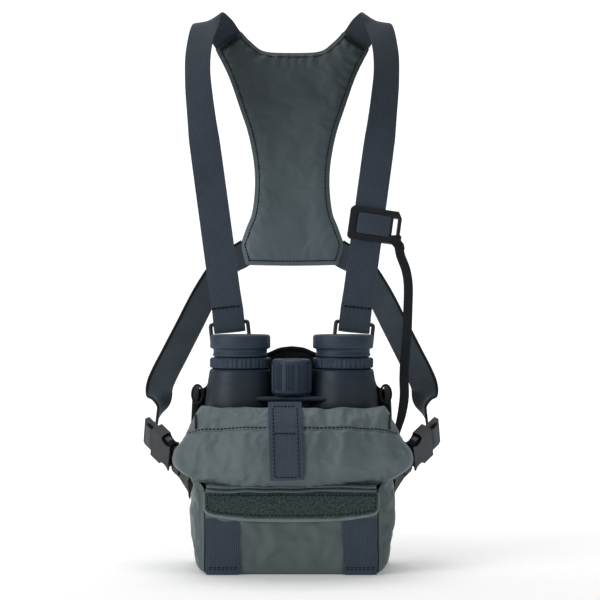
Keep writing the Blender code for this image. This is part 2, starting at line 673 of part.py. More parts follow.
def make_binoculars():
    for name, side in SIDES.items():
        centre = (side * AXIS_X, AXIS_Y)
        lean = side * 0.8
        profile = [
            (24.6, BINO_BASE, lean), (25.4, BINO_BASE + 1.5, lean), (25.4, 30.0, lean),
            (24.4, 34.0, lean), (25.6, 70.0, lean), (BARREL_R, 100.0, lean), (25.4, 120.0, lean),
            (24.3, 133.0, lean * 0.7), (22.4, 146.6, lean * 0.2), (19.6, 147.4, 0.0),
            (19.6, BARREL_TOP, 0.0), (NECK_R, BARREL_TOP, 0.0), (NECK_R, NECK_TOP, 0.0),
        ]
        if side < 0:
            profile[-4:-2] = [(22.3, 147.8, 0.0), (22.3, 155.4, 0.0), (19.6, BARREL_TOP, 0.0)]
        barrel = solid("barrel_" + name, *stack(profile, centre), "armour", smooth=True)
        lens_seat = stack([(20.0, BINO_BASE - 2, lean), (20.0, BINO_BASE + 7, lean)], centre)
        cut(barrel, "objective_bore_" + name, *lens_seat)
        lens = stack([(19.6, BINO_BASE + 4.6, lean), (19.6, BINO_BASE + 6.6, lean)], centre, 24)
        solid("objective_lens_" + name, *lens, "lens", smooth=True)
        bore = stack([(11.9, NECK_TOP - 4.4, 0.0), (11.9, NECK_TOP + 2, 0.0)], centre, 24)
        cut(barrel, "eyepiece_bore_" + name, *bore)
        lens = stack([(11.5, NECK_TOP - 4.0, 0.0), (11.5, NECK_TOP - 1.2, 0.0)], centre, 24)
        solid("eyepiece_lens_" + name, *lens, "lens", smooth=True)

        base = BARREL_TOP + 0.4
        inside = NECK_R + 0.4
        cup = [(inside, base), (20.4, base), (20.4, 162.4), (EYECUP_R, 163.8),
               (EYECUP_R, EYECUP_TOP - 1.4), (20.9, EYECUP_TOP), (16.4, EYECUP_TOP - 0.6),
               (inside, EYECUP_TOP - 5.0)]
        solid("eyecup_" + name, *turned(cup, centre), "rubber", (*centre, base), smooth=True)

        lug_x = AXIS_X + 0.8 + BARREL_R + GAP + LUG_WIDE
        rings = []
        for a, b in arc((0, 0), 1.0, 0, 330, 11):
            outer = (side * (lug_x + LUG_WIDE * a), LUG_Z + LUG_TALL * b)
            inner = (side * (lug_x + (LUG_WIDE - LUG_WIRE) * a), LUG_Z + (LUG_TALL - LUG_WIRE) * b)
            ring = [along_y(*outer, -4.0), along_y(*outer, 1.0), along_y(*inner, 1.0)]
            ring.append(along_y(*inner, -4.0))
            rings.append(ring)
        solid("lug_loop_" + name, *loft(rings, closed=True), "binding")

    ring = [(20.0, 147.9), (EYECUP_R, 147.9), (EYECUP_R, 155.4), (20.0, 155.4)]
    centre = (AXIS_X, AXIS_Y)
    solid("diopter_ring", *turned(ring, centre), "rubber", (*centre, 147.9), smooth=True)

    middle = [(-19.0, -8.0), (19.0, -8.0), (19.0, 10.0), (-19.0, 10.0)]
    bridge = solid("bridge", *plate(middle, 104.0, 127.0, along_z), "armour")
    for name, side in SIDES.items():
        clear = stack([(BARREL_R + GAP, 95.0, side * 0.8), (BARREL_R + GAP, 135.0, side * 0.8)],
                      (side * AXIS_X, AXIS_Y))
        cut(bridge, "bridge_relief_" + name, *clear)

    knob = [(KNOB_R - 1.0, 128.6), (KNOB_R, 129.6), (KNOB_R, 152.6), (KNOB_R - 1.6, 154.8)]
    points = stack([(r, z, 0.0) for r, z in knob], (0.0, KNOB_Y))
    solid("focus_knob", *points, "rubber", (0.0, KNOB_Y, 128.6), smooth=True)


clear_scene()
make_pouch()
make_front_trim()
make_lid()
make_yoke()
make_harness()
for side_name, side_sign in SIDES.items():
    make_socket(side_name, side_sign)
    make_plug(side_name, side_sign)
make_keeper()
make_tether()
make_binoculars()
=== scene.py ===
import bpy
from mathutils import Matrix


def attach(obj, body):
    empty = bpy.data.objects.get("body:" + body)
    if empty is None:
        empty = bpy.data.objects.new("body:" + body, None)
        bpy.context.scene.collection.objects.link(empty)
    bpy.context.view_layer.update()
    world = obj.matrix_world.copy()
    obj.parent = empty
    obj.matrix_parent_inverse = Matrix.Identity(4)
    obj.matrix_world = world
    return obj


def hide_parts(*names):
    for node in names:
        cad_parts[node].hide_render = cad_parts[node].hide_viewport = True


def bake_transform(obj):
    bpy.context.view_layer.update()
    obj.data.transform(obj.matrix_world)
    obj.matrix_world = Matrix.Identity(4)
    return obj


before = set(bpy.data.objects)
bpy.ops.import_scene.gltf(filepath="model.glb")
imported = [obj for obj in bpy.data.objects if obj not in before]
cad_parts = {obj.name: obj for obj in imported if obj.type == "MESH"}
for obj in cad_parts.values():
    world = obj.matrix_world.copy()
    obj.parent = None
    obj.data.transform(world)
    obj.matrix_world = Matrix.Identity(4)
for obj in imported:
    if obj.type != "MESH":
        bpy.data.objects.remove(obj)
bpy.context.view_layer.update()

import math
import random

import bmesh
import bpy
import numpy as np
from mathutils import Vector, noise
from mathutils.geometry import delaunay_2d_cdt

MM = 0.001
SIDES = {"left": -1, "right": 1}
UP = Vector((0.0, 0.0, 1.0))
FORWARDS = Vector((0.0, -1.0, 0.0))
BACKWARDS = Vector((0.0, 1.0, 0.0))
SIDEWAYS = Vector((1.0, 0.0, 0.0))


# Camera and floor

CAMERA_Z = 0.198
CAMERA_X = 0.0062
CAMERA_DISTANCE = 1.2
FRONT_PLANE = -0.035
VIEW_WIDTH = 0.432             # width of the view at the pouch's front
SENSOR = 36.0
SWEEP_START = 2.2              # where the floor begins to curve up, behind the pack
SWEEP_RADIUS = 1.5
SWEEP_HALF = 6.0


def make_stage():
    camera_data = bpy.data.cameras.new("camera")
    camera_data.sensor_width = SENSOR
    camera_data.lens = SENSOR * CAMERA_DISTANCE / VIEW_WIDTH
    camera = bpy.data.objects.new("camera", camera_data)
    camera.location = (CAMERA_X, FRONT_PLANE - CAMERA_DISTANCE, CAMERA_Z)
    camera.rotation_euler = (math.radians(90), 0, 0)
    bpy.context.collection.objects.link(camera)
    bpy.context.scene.camera = camera

    floor_mat = bpy.data.materials.new("stage_white")
    floor_mat.use_nodes = True
    shader = floor_mat.node_tree.nodes["Principled BSDF"]
    shader.inputs["Base Color"].default_value = (0.95, 0.95, 0.95, 1)
    shader.inputs["Roughness"].default_value = 1.0
    shader.inputs["Specular IOR Level"].default_value = 0.0
    shader.inputs["Emission Color"].default_value = (1, 1, 1, 1)
    shader.inputs["Emission Strength"].default_value = 0.15
    outline = [(-4.0, 0.0)]
    for k in range(13):
        angle = math.radians(90 * k / 12)
        y = SWEEP_START + SWEEP_RADIUS * math.sin(angle)
        outline.append((y, SWEEP_RADIUS - SWEEP_RADIUS * math.cos(angle)))
    outline.append((SWEEP_START + SWEEP_RADIUS, 6.0))
    points = []
    faces = []
    for i, (y, z) in enumerate(outline):
        points += [(-SWEEP_HALF, y, z), (SWEEP_HALF, y, z)]
        if i:
            faces.append((2 * i - 2, 2 * i - 1, 2 * i + 1, 2 * i))
    mesh = bpy.data.meshes.new("studio_sweep")
    mesh.from_pydata(points, [], faces)
    mesh.shade_smooth()
    sweep_obj = bpy.data.objects.new("studio_sweep", mesh)
    bpy.context.collection.objects.link(sweep_obj)
    mesh.materials.append(floor_mat)

    world = bpy.data.worlds.new("studio")
    world.use_nodes = True
    sky = world.node_tree.nodes["Background"]
    sky.inputs["Color"].default_value = (1, 1, 1, 1)
    sky.inputs["Strength"].default_value = 0.25
    bpy.context.scene.world = world
    bpy.context.scene.view_settings.view_transform = "Standard"

    subject = (0.0, 0.0, 0.2)
    lights = (
        ("key", (-1.5, -1.1, 0.75), 1.1, 15.5, subject),
        ("fill", (1.1, -1.6, 0.5), 1.3, 2.1, subject),
        ("top", (-0.1, 0.1, 1.6), 0.9, 9.0, subject),
        ("backdrop", (0.0, 1.0, 2.4), 1.6, 55.0, (0.0, 3.7, 0.7)),
    )
    for name, place, size, power, target in lights:
        data = bpy.data.lights.new(name, "AREA")
        data.shape = "SQUARE"
        data.size = size
        data.energy = power
        lamp = bpy.data.objects.new(name, data)
        lamp.location = place
        aim = Vector(target) - Vector(place)
        lamp.rotation_euler = aim.to_track_quat("-Z", "Y").to_euler()
        bpy.context.collection.objects.link(lamp)


# Material nodes

class Nodes:
    """A short way to write a material's node tree."""

    def __init__(self, name, colour, roughness, specular):
        self.material = bpy.data.materials.new(name)
        self.material.use_nodes = True
        self.tree = self.material.node_tree
        self.shader = self.tree.nodes["Principled BSDF"]
        self.shader.inputs["Base Color"].default_value = (*colour, 1)
        self.shader.inputs["Roughness"].default_value = roughness
        self.shader.inputs["Specular IOR Level"].default_value = specular
        self.colour = colour

    def add(self, kind, inputs=None, **settings):
        node = self.tree.nodes.new(kind)
        for key, value in settings.items():
            setattr(node, key, value)
        for key, value in (inputs or {}).items():
            if isinstance(value, bpy.types.NodeSocket):
                self.tree.links.new(value, node.inputs[key])
            else:
                node.inputs[key].default_value = value
        return node

    def math(self, operation, a, b=0.0, c=0.0, clamp=False):
        inputs = {0: a, 1: b, 2: c}
        return self.add("ShaderNodeMath", inputs, operation=operation, use_clamp=clamp).outputs[0]

    def coordinates(self, kind, scale=(1, 1, 1)):
        source = self.add("ShaderNodeTexCoord").outputs[kind]
        return self.add("ShaderNodeMapping", {"Vector": source, "Scale": scale}).outputs[0]

    def axes(self, vector):
        return self.add("ShaderNodeSeparateXYZ", {0: vector}).outputs

    def spread(self, value, low, high, out_low=0.0, out_high=1.0):
        """The value's range from low to high, stretched to another range."""
        inputs = {0: value, 1: low, 2: high, 3: out_low, 4: out_high}
        return self.add("ShaderNodeMapRange", inputs).outputs[0]

    def noise(self, vector, scale, detail=3.0, roughness=0.55):
        inputs = {"Vector": vector, "Scale": scale, "Detail": detail, "Roughness": roughness}
        return self.add("ShaderNodeTexNoise", inputs).outputs["Fac"]

    def wave(self, value, period, phase=0.0):
        """0 to 1 along value, in metres, with that period."""
        angle = self.math("MULTIPLY_ADD", value, 2 * math.pi / period, phase)
        return self.math("MULTIPLY_ADD", self.math("SINE", angle), 0.5, 0.5)

    def mixed(self, a, share_a, b, share_b):
        """A weighted sum of two values."""
        return self.math("MULTIPLY_ADD", a, share_a, self.math("MULTIPLY", b, share_b))

    def tint(self, factor, dark, light):
        """Base colour from dark to light shares of the material's colour."""
        low = (*[c * dark for c in self.colour], 1)
        high = (*[c * light for c in self.colour], 1)
        mix = self.add("ShaderNodeMix", {"Factor": factor, 6: low, 7: high}, data_type="RGBA")
        self.tree.links.new(mix.outputs[2], self.shader.inputs["Base Color"])

    def fade(self, height, low, high, below, above):
        """Painted light and shade by height: scales the base colour from below, under the low height, to
        above, over the high one.
        """
        base = self.shader.inputs["Base Color"].links[0].from_socket
        inputs = {"Factor": 1.0, 6: base, 7: self.spread(height, low, high, below, above)}
        mix = self.add("ShaderNodeMix", inputs, data_type="RGBA", blend_type="MULTIPLY")
        self.tree.links.new(mix.outputs[2], self.shader.inputs["Base Color"])

    def roughen(self, factor, low, high):
        spread = self.spread(factor, 0.0, 1.0, low, high)
        self.tree.links.new(spread, self.shader.inputs["Roughness"])

    def bump(self, height, distance, strength=1.0, under=None):
        inputs = {"Height": height, "Distance": distance, "Strength": strength}
        if under is not None:
            inputs["Normal"] = under
        normal = self.add("ShaderNodeBump", inputs).outputs[0]
        self.tree.links.new(normal, self.shader.inputs["Normal"])
        return normal

    def sheen(self, weight):
        self.shader.inputs["Sheen Weight"].default_value = weight
        self.shader.inputs["Sheen Roughness"].default_value = 0.4


WEAVE = 0.00055                 # spacings of the cloth's threads and the webbing's crosswise ones
PICKS = 0.0013


def coated_cloth(name, colour, roughness=0.5, fade=None):
    """Tightly woven cloth with a matt coating: fine crossed threads, soft mottling, slight sheen."""
    n = Nodes(name, colour, roughness, specular=0.35)
    place = n.coordinates("Object")
    axes = n.axes(place)
    slant = n.math("ADD", axes[0], axes[1])
    threads = n.math("MULTIPLY", n.wave(slant, WEAVE), n.wave(axes[2], WEAVE, 1.1))
    mottle = n.noise(place, 38.0, 4.0)
    n.tint(n.mixed(mottle, 0.75, n.noise(place, 1400.0, 2.0), 0.25), 0.86, 1.14)
    if fade:
        n.fade(axes[2], *fade)
    n.roughen(mottle, roughness - 0.08, roughness + 0.12)
    coarse = n.bump(n.noise(place, 240.0, 3.0), 0.00035, 0.5)
    n.bump(threads, 0.00008, 0.6, coarse)
    n.sheen(0.12)
    return n.material


def ribbed_webbing(name, colour, ribs=0.0015, fade=None):
    """Woven webbing from its UV in metres: lengthwise ribs crossed by fine picks, with fine fuzz and soft
    patches.
    """
    n = Nodes(name, colour, 0.78, specular=0.25)
    uv = n.coordinates("UV")
    across, along, _ = n.axes(uv)
    rib = n.wave(across, ribs)
    pick = n.wave(along, PICKS)
    shifted = n.wave(along, PICKS, math.pi)
    side = n.math("GREATER_THAN", rib, 0.5)
    woven = n.add("ShaderNodeMix", {"Factor": side, 2: pick, 3: shifted}, data_type="FLOAT").outputs[0]
    fuzz = n.noise(n.coordinates("UV", (1, 0.25, 1)), 1900.0, 2.0)
    patch = n.noise(uv, 60.0, 2.0)
    height = n.mixed(rib, 0.5, woven, 0.5)
    # painted shade and highlight: the colour follows the weave's height, 0.2 times in its grooves and 1.85
    # times on raised ribs and picks; the fuzz and patches are random tone
    n.tint(n.mixed(height, 0.55, n.math("ADD", fuzz, patch), 0.225), 0.2, 1.85)
    if fade:
        place = n.add("ShaderNodeTexCoord").outputs["Object"]
        n.fade(n.axes(place)[2], *fade)
    coarse = n.bump(height, 0.0003, 0.9)
    n.bump(fuzz, 0.0001, 0.5, coarse)
    n.sheen(0.25)
    return n.material


def tape(name, colour, roughness=0.8, sheen=0.15):
    """Narrow woven tape and thread: fine fibre grain, dull sheen."""
    n = Nodes(name, colour, roughness, specular=0.3)
    place = n.coordinates("Object")
    fibre = n.noise(place, 900.0, 3.0)
    n.tint(fibre, 0.6, 1.5)
    n.roughen(fibre, roughness - 0.1, roughness + 0.12)
    n.bump(fibre, 0.00015, 0.6)
    n.sheen(sheen)
    return n.material


def mesh_cloth(name, colour):
    """Spacer mesh over foam: rows of small open cells."""
    n = Nodes(name, colour, 0.9, specular=0.2)
    place = n.coordinates("Object")
    inputs = {"Vector": place, "Scale": 420.0, "Randomness": 0.25}
    cells = n.add("ShaderNodeTexVoronoi", inputs).outputs[0]
    n.tint(n.math("MULTIPLY", cells, 1.6, clamp=True), 1.35, 0.35)
    n.bump(cells, 0.0006, 0.8).node.invert = True
    n.sheen(0.2)
    return n.material


def pile(name, colour):
    """Loop pile: soft tangled fibres, greenish light tips."""
    n = Nodes(name, colour, 0.95, specular=0.15)
    place = n.coordinates("Object")
    tips = n.noise(place, 620.0, 3.0, 0.7)
    n.tint(n.spread(tips, 0.32, 0.72), 0.35, 2.0)
    n.bump(tips, 0.0004, 0.7)
    n.sheen(0.35)
    return n.material


def moulded(name, colour, roughness=0.42, grain=1500.0, depth=0.00005, specular=0.5):
    """Moulded plastic with a spark-eroded texture, and a painted highlight that lightens its convex edges.
    """
    n = Nodes(name, colour, roughness, specular=specular)
    place = n.coordinates("Object")
    broad = n.noise(place, 90.0, 4.0)
    # painted highlight: Pointiness lightens the colour on sharp convex edges up to 1.5 times, mixed with
    # broad random tone
    edge_highlight = n.spread(n.add("ShaderNodeNewGeometry").outputs["Pointiness"], 0.5, 0.62)
    n.tint(n.mixed(edge_highlight, 0.55, broad, 0.45), 0.8, 1.5)
    n.roughen(broad, roughness - 0.1, roughness + 0.14)
    n.bump(n.noise(place, grain, 2.0), depth, 0.7)
    return n.material


def coated_glass(name, colour):
    """Coated lens glass with a faint bluish coat, and a painted reflection that lightens its colour
    towards grazing angles.
    """
    n = Nodes(name, colour, 0.03, specular=0.8)
    # painted reflection: the colour goes from 0.7 times facing the view to 2.2 times at grazing angles
    facing = n.add("ShaderNodeLayerWeight", {"Blend": 0.35}).outputs["Facing"]
    n.tint(facing, 0.7, 2.2)
    n.shader.inputs["Coat Weight"].default_value = 1.0
    n.shader.inputs["Coat Tint"].default_value = (0.75, 0.8, 1.0, 1)
    return n.material


MATERIALS = {
    "lid": coated_cloth("coated_cloth_lid", (0.100, 0.133, 0.143)),
    "pouch": coated_cloth("coated_cloth_pouch", (0.088, 0.116, 0.119)),
    # painted light and shade: the yoke's colour is scaled by 1.78 below 0.24 m and by 0.66 above 0.36 m,
    # lighter low down and darker at the top
    "yoke": coated_cloth("yoke_cloth", (0.068, 0.092, 0.101), fade=(0.24, 0.36, 1.78, 0.66)),
    "lining": coated_cloth("lining_cloth", (0.014, 0.017, 0.018), roughness=0.7),
    # painted light and shade: the webbing's colour is scaled by 1.2 below 0.21 m and by 0.78 above 0.37 m
    "webbing": ribbed_webbing("webbing_navy_grey", (0.034, 0.047, 0.065), fade=(0.21, 0.37, 1.2, 0.78)),
    "side_webbing": ribbed_webbing("webbing_slate", (0.050, 0.067, 0.082), 0.0011),
    # painted shade: near-black webbing for the side tabs, which stand in the shade under the lid
    "shaded_black_webbing": ribbed_webbing("webbing_black_painted_shade", (0.008, 0.009, 0.011)),
    "binding": tape("tape_black", (0.0032, 0.0056, 0.0080)),
    "thread": tape("thread_dark", (0.0022, 0.0026, 0.0034), 0.6, sheen=0.0),
    "piping": coated_cloth("piping_grey", (0.150, 0.198, 0.212)),
    "mesh": mesh_cloth("spacer_mesh", (0.032, 0.038, 0.041)),
    "pile": pile("loop_pile", (0.035, 0.058, 0.053)),
    "buckle": moulded("buckle_plastic", (0.0065, 0.0085, 0.0120), 0.46, specular=0.3),
    "ring": moulded("ring_plastic", (0.010, 0.010, 0.011), 0.38),
    "armour": moulded("rubber_armour", (0.0100, 0.0205, 0.0330), 0.48, 2200.0, 0.00008, 0.4),
    "grip": moulded("grip_rubber", (0.0185, 0.0360, 0.0590), 0.52, 1800.0, 0.00008, 0.4),
    "foam": moulded("foam_dark", (0.020, 0.021, 0.023), 0.9, 900.0, 0.0003),
    "glass": coated_glass("lens_glass", (0.020, 0.028, 0.045)),
}


# Mesh helpers, all in millimetres

def bell(value, middle, width):
    return math.exp(-((value - middle) / width) ** 2)


def steps_between(start, end, count):
    return [start + (end - start) * k / count for k in range(count + 1)]


def smoothed(path, rounds):
    for _ in range(rounds):
        inner = [(a + b * 2 + c) / 4 for a, b, c in zip(path, path[1:], path[2:])]
        path = [path[0]] + inner + [path[-1]]
    return path


def piece(name, points, faces, look, body, uv=None, closed=True, replaces=()):
    """A mesh object that rides on a body. uv gives one (across, along) pair per point, in mm."""
    mesh = bpy.data.meshes.new(name)
    mesh.from_pydata([Vector(p) * MM for p in points], [], faces)
    if closed:
        bm = bmesh.new()
        bm.from_mesh(mesh)
        bmesh.ops.recalc_face_normals(bm, faces=bm.faces)
        bm.to_mesh(mesh)
        bm.free()
    if uv is not None:
        layer = mesh.uv_layers.new(name="UVMap")
        for loop in mesh.loops:
            u, v = uv[loop.vertex_index]
            layer.data[loop.index].uv = (u * MM, v * MM)
    mesh.shade_smooth()
    mesh.set_sharp_from_angle(angle=math.radians(50))
    obj = bpy.data.objects.new(name, mesh)
    bpy.context.collection.objects.link(obj)
    mesh.materials.append(MATERIALS[look])
    if body:
        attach(obj, body)
    if replaces:
        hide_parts(*replaces)
    return obj


def loft(rings, closed=False):
    """Points and faces through equal rings; the last ring joins the first, or both ends are capped."""
    count = len(rings[0])
    points = [p for ring in rings for p in ring]
    faces = []
    spans = len(rings) if closed else len(rings) - 1
    for i in range(spans):
        a = i * count
        b = ((i + 1) % len(rings)) * count
        for k in range(count):
            m = (k + 1) % count
            faces.append((a + k, a + m, b + m, b + k))
    if not closed:
        faces.append(tuple(range(count)))
        faces.append(tuple(range((len(rings) - 1) * count, len(rings) * count)))
    return points, faces


def sheet_grid(shape, columns, rows):
    """Points and faces of an open sheet; shape(u, v) with u and v from 0 to 1."""
    points = []
    faces = []
    for j in range(rows + 1):
        for i in range(columns + 1):
            points.append(shape(i / columns, j / rows))
    for j in range(rows):
        for i in range(columns):
            a = j * (columns + 1) + i
            faces.append((a, a + 1, a + columns + 2, a + columns + 1))
    return points, faces


def smooth_path(route, per_span):
    """Points on a Catmull-Rom curve through the route's own points."""
    route = [Vector(p) for p in route]
    padded = [route[0] * 2 - route[1]] + route + [route[-1] * 2 - route[-2]]
    out = []
    for i in range(1, len(padded) - 2):
        a, b, c, d = padded[i - 1:i + 3]
        for k in range(per_span):
            t = k / per_span
            out.append(0.5 * (2 * b + (c - a) * t + (2 * a - 5 * b + 4 * c - d) * t * t
                              + (3 * b - a - 3 * c + d) * t * t * t))
    out.append(route[-1])
    return out


def along_path(path, t):
    """The point at share t of a list of points, by length."""
    lengths = [(b - a).length for a, b in zip(path, path[1:])]
    left = t * sum(lengths)
    for i, length in enumerate(lengths):
        if left <= length or i == len(lengths) - 1:
            return path[i].lerp(path[i + 1], min(left / max(length, 1e-9), 1.0))
        left -= length


def path_frames(path, sides):
    """Along, across and out directions at each point of a path."""
    if not isinstance(sides, list):
        sides = [sides] * len(path)
    out = []
    for i in range(len(path)):
        forward = (path[min(i + 1, len(path) - 1)] - path[max(i - 1, 0)]).normalized()
        across = Vector(sides[i])
        across = (across - forward * across.dot(forward)).normalized()
        out.append((forward, across, forward.cross(across)))
    return out


def strap_shape(path, sides, width, thick, ripple=0.0, edge=0.35):
    """A strap with rounded selvedges, its UV in mm; sides is one direction or one for each point."""
    frames = path_frames(path, sides)
    steps = 8
    rings = []
    uv = []
    travelled = 0.0
    for i, point in enumerate(path):
        if i:
            travelled += (path[i] - path[i - 1]).length
        _, across, out = frames[i]
        ring = []
        for layer in (1, -1):
            for k in range(steps + 1):
                share = (k / steps * 2 - 1) * layer
                x = share * width / 2
                half = thick / 2 * (1 - edge * abs(share) ** 8)
                wave = math.sin(travelled * 0.21 + 2.1 * share)
                lift = ripple * wave * (1 - abs(share) ** 2 * 0.3)
                ring.append(point + across * x + out * (layer * half + lift))
                uv.append((x, travelled))
        rings.append(ring)
    points, faces = loft(rings)
    return points, faces, uv


def tube_shape(path, radius, sides=8, closed=False):
    """A round tube along a path."""
    rings = []
    count = len(path)
    across = None
    for i, point in enumerate(path):
        if closed:
            forward = (path[(i + 1) % count] - path[i - 1]).normalized()
        else:
            forward = (path[min(i + 1, count - 1)] - path[max(i - 1, 0)]).normalized()
        if across is None:
            guess = UP if abs(forward.z) < 0.9 else SIDEWAYS
            across = forward.cross(guess).normalized()
        across = (across - forward * across.dot(forward)).normalized()
        out = forward.cross(across)
        ring = []
        for k in range(sides):
            angle = 2 * math.pi * k / sides
            ring.append(point + across * (radius * math.cos(angle)) + out * (radius * math.sin(angle)))
        rings.append(ring)
    return loft(rings, closed=closed)


def lathe_shape(profile, centre, segments, ribs=None, hollow=True):
    """A turned body from (radius, z) points, some with a sideways shift; ribs adds to the radius."""
    rings = []
    for r, z, *shift in profile:
        x = centre[0] + sum(shift)
        ring = []
        for k in range(segments):
            angle = 2 * math.pi * k / segments
            reach = r + (ribs(angle, r, z) if ribs else 0.0)
            ring.append((x + reach * math.cos(angle), centre[1] + reach * math.sin(angle), z))
        rings.append(ring)
    return loft(rings, closed=hollow)


def add_strap(name, path, sides, width, thick, look, body="pack", side=1, replaces=(), **shape):
    points, faces, uv = strap_shape(path, sides, width, thick, **shape)
    return piece(name, mirror(points, side), faces, look, body, uv, replaces=replaces)


def add_tube(name, path, radius, look, body, slot, side=1, replaces=(), **shape):
    points, faces = tube_shape(path, radius, **shape)
    return piece(name, mirror(points, side), faces, look, body, replaces=replaces)


def add_turned(name, profile, centre, segments, look, body, slot, replaces=(), **shape):
    points, faces = lathe_shape(profile, centre, segments, **shape)
    return piece(name, points, faces, look, body, replaces=replaces)


class Stitches:
    """Rows of single stitches gathered into one mesh."""

    def __init__(self):
        self.points = []
        self.faces = []

    def row(self, path, out, length=2.1, gap=0.9, radius=0.28):
        """Stitches along a path; out is the cloth's normal, one direction or one for each point."""
        total = sum((b - a).length for a, b in zip(path, path[1:]))
        count = max(1, int(total / (length + gap)))
        normals = out if isinstance(out, list) else [out] * len(path)
        for k in range(count):
            start = (k * (length + gap) + gap / 2) / total
            end = min(start + length / total, 1.0)
            a = along_path(path, start)
            b = along_path(path, end)
            place = min(range(len(path)), key=lambda i: (path[i] - a).length)
            normal = Vector(normals[place]).normalized()
            forward = (b - a).normalized()
            across = forward.cross(normal)
            rings = []
            for share, size, drop in ((0, 0.45, 0.35), (0.18, 1, 0), (0.82, 1, 0), (1, 0.45, 0.35)):
                middle = a.lerp(b, share) - normal * (drop * radius)
                ring = []
                for m in range(6):
                    angle = math.pi * m / 3
                    away = across * math.cos(angle) + normal * math.sin(angle)
                    ring.append(middle + away * (radius * size))
                rings.append(ring)
            points, faces = loft(rings)
            base = len(self.points)
            self.points += points
            self.faces += [tuple(i + base for i in face) for face in faces]

    def make(self, name, body="pack"):
        piece(name, self.points, self.faces, "thread", body)


SETTLE_FRAMES = 14
STIFFNESS = 18.0


def settle(obj, pinned, pressure, grow, cap):
    """Cloth simulation on a sheet: pinned(index) gives each point's hold; movement is capped in mm."""
    mesh = obj.data
    rest = [v.co.copy() for v in mesh.vertices]
    group = obj.vertex_groups.new(name="held")
    for i in range(len(rest)):
        group.add([i], pinned(i), "REPLACE")
    cloth = obj.modifiers.new("cloth", "CLOTH")
    settings = cloth.settings
    settings.quality = 6
    settings.mass = 0.2
    settings.tension_stiffness = STIFFNESS
    settings.compression_stiffness = STIFFNESS
    settings.shear_stiffness = STIFFNESS * 0.6
    settings.bending_stiffness = 0.6
    settings.air_damping = 4.0
    settings.vertex_group_mass = "held"
    settings.shrink_min = -grow
    settings.use_pressure = True
    settings.uniform_pressure_force = pressure
    settings.effector_weights.gravity = 0.0
    cloth.collision_settings.use_collision = False
    cloth.point_cache.frame_start = 1
    cloth.point_cache.frame_end = SETTLE_FRAMES
    scene = bpy.context.scene
    for f in range(1, SETTLE_FRAMES + 1):
        scene.frame_set(f)
    evaluated = obj.evaluated_get(bpy.context.evaluated_depsgraph_get())
    moved = [v.co.copy() for v in evaluated.data.vertices]
    obj.modifiers.remove(cloth)
    obj.vertex_groups.remove(group)
    scene.frame_set(1)
    limit = cap * MM
    for vert, before, after in zip(mesh.vertices, rest, moved):
        step = after - before
        if step.length > limit:
            step *= limit / step.length
        vert.co = before + step
    mesh.update()


def finer(obj):
    fine = obj.modifiers.new("fine", "SUBSURF")
    fine.levels = 1
    fine.render_levels = 1


def soften(node, width, segments, look):
    """Rounded edges and a new material on a CAD node."""
    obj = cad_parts[node]
    bevel = obj.modifiers.new("edges", "BEVEL")
    bevel.width = width * MM
    bevel.segments = segments
    bevel.limit_method = "ANGLE"
    bevel.angle_limit = math.radians(30)
    bevel.harden_normals = False
    obj.data.materials.clear()
    obj.data.materials.append(MATERIALS[look])


def cloth_sheet(name, shape, columns, rows, look, body, slot, thick, lining="lining", replaces=(),
                hold=None, **options):
    """A sheet of cloth from shape(u, v), settled, thickened inwards with a lining, and smoothed."""
    points, faces = sheet_grid(shape, columns, rows)
    obj = piece(name, points, faces, look, body, closed=False, replaces=replaces)
    obj.data.materials.append(MATERIALS[lining])
    if hold:
        def pinned(i):
            return hold((i % (columns + 1)) / columns, (i // (columns + 1)) / rows)
        settle(obj, pinned, **options)
    shell = obj.modifiers.new("thickness", "SOLIDIFY")
    shell.thickness = thick * MM
    shell.offset = -1.0
    shell.material_offset = 1
    finer(obj)


def mirror(points, side):
    return [Vector((p[0] * side, p[1], p[2])) for p in points]


def wobble(x, y, z, scale, seed):
    return noise.noise(Vector((x * scale + seed, y * scale, z * scale)))


# Tether, a flat cord from the keeper's slot to the pouch

TETHER_WIDTH = 7.0
TETHER_THICK = 1.2
TETHER_TURN = 0.72             # share of its length after which the tether twists towards the pouch
TETHER_TOP = (82.0, 39.4, 239.2)
TETHER_ROUTE = [
    TETHER_TOP, (83.0, 37.8, 232.0), (86.9, 34.5, 220.8), (88.4, 30.0, 208.6),
    (87.8, 25.0, 192.5), (86.6, 18.0, 172.4), (84.5, 11.0, 152.4), (83.7, 7.0, 139.1),
    (83.6, 2.0, 126.2), (81.4, -2.5, 113.2), (78.9, -6.0, 104.5), (76.8, -8.5, 96.0),
]


def make_tether():
    path = smooth_path(TETHER_ROUTE, 4)
    sides = []
    for i in range(len(path)):
        share = i / (len(path) - 1)
        angle = math.radians(8 + 62 * max(0.0, share - TETHER_TURN) / (1 - TETHER_TURN))
        sides.append((math.cos(angle), -math.sin(angle), 0.0))
    tether = add_strap("tether_ribbon", path, sides, TETHER_WIDTH, TETHER_THICK, "binding", None,
                       replaces=["tether"], edge=0.5)
    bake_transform(tether)
    length = sum((b - a).length for a, b in zip(path, path[1:])) * MM


# Shapes filled in from an outline

def dense(outline, step):
    """The closed outline with points at most step mm apart."""
    out = []
    for a, b in zip(outline, outline[1:] + outline[:1]):
        a, b = Vector(a), Vector(b)
        count = max(1, math.ceil((b - a).length / step))
        out += [a.lerp(b, k / count) for k in range(count)]
    return out


def smooth_runs(*runs, per_span=6):
    """A closed outline from runs that are each smooth and meet at corners."""
    out = []
    for run in runs:
        line = smooth_path([(a, b, 0.0) for a, b in run], per_span)
        out += [(p.x, p.y) for p in line[:-1]]
    return out


def mirrored_outline(half):
    """Both halves of an outline whose first and last points lie on the middle line."""
    return half + [(-a, b) for a, b in half[-2:0:-1]]


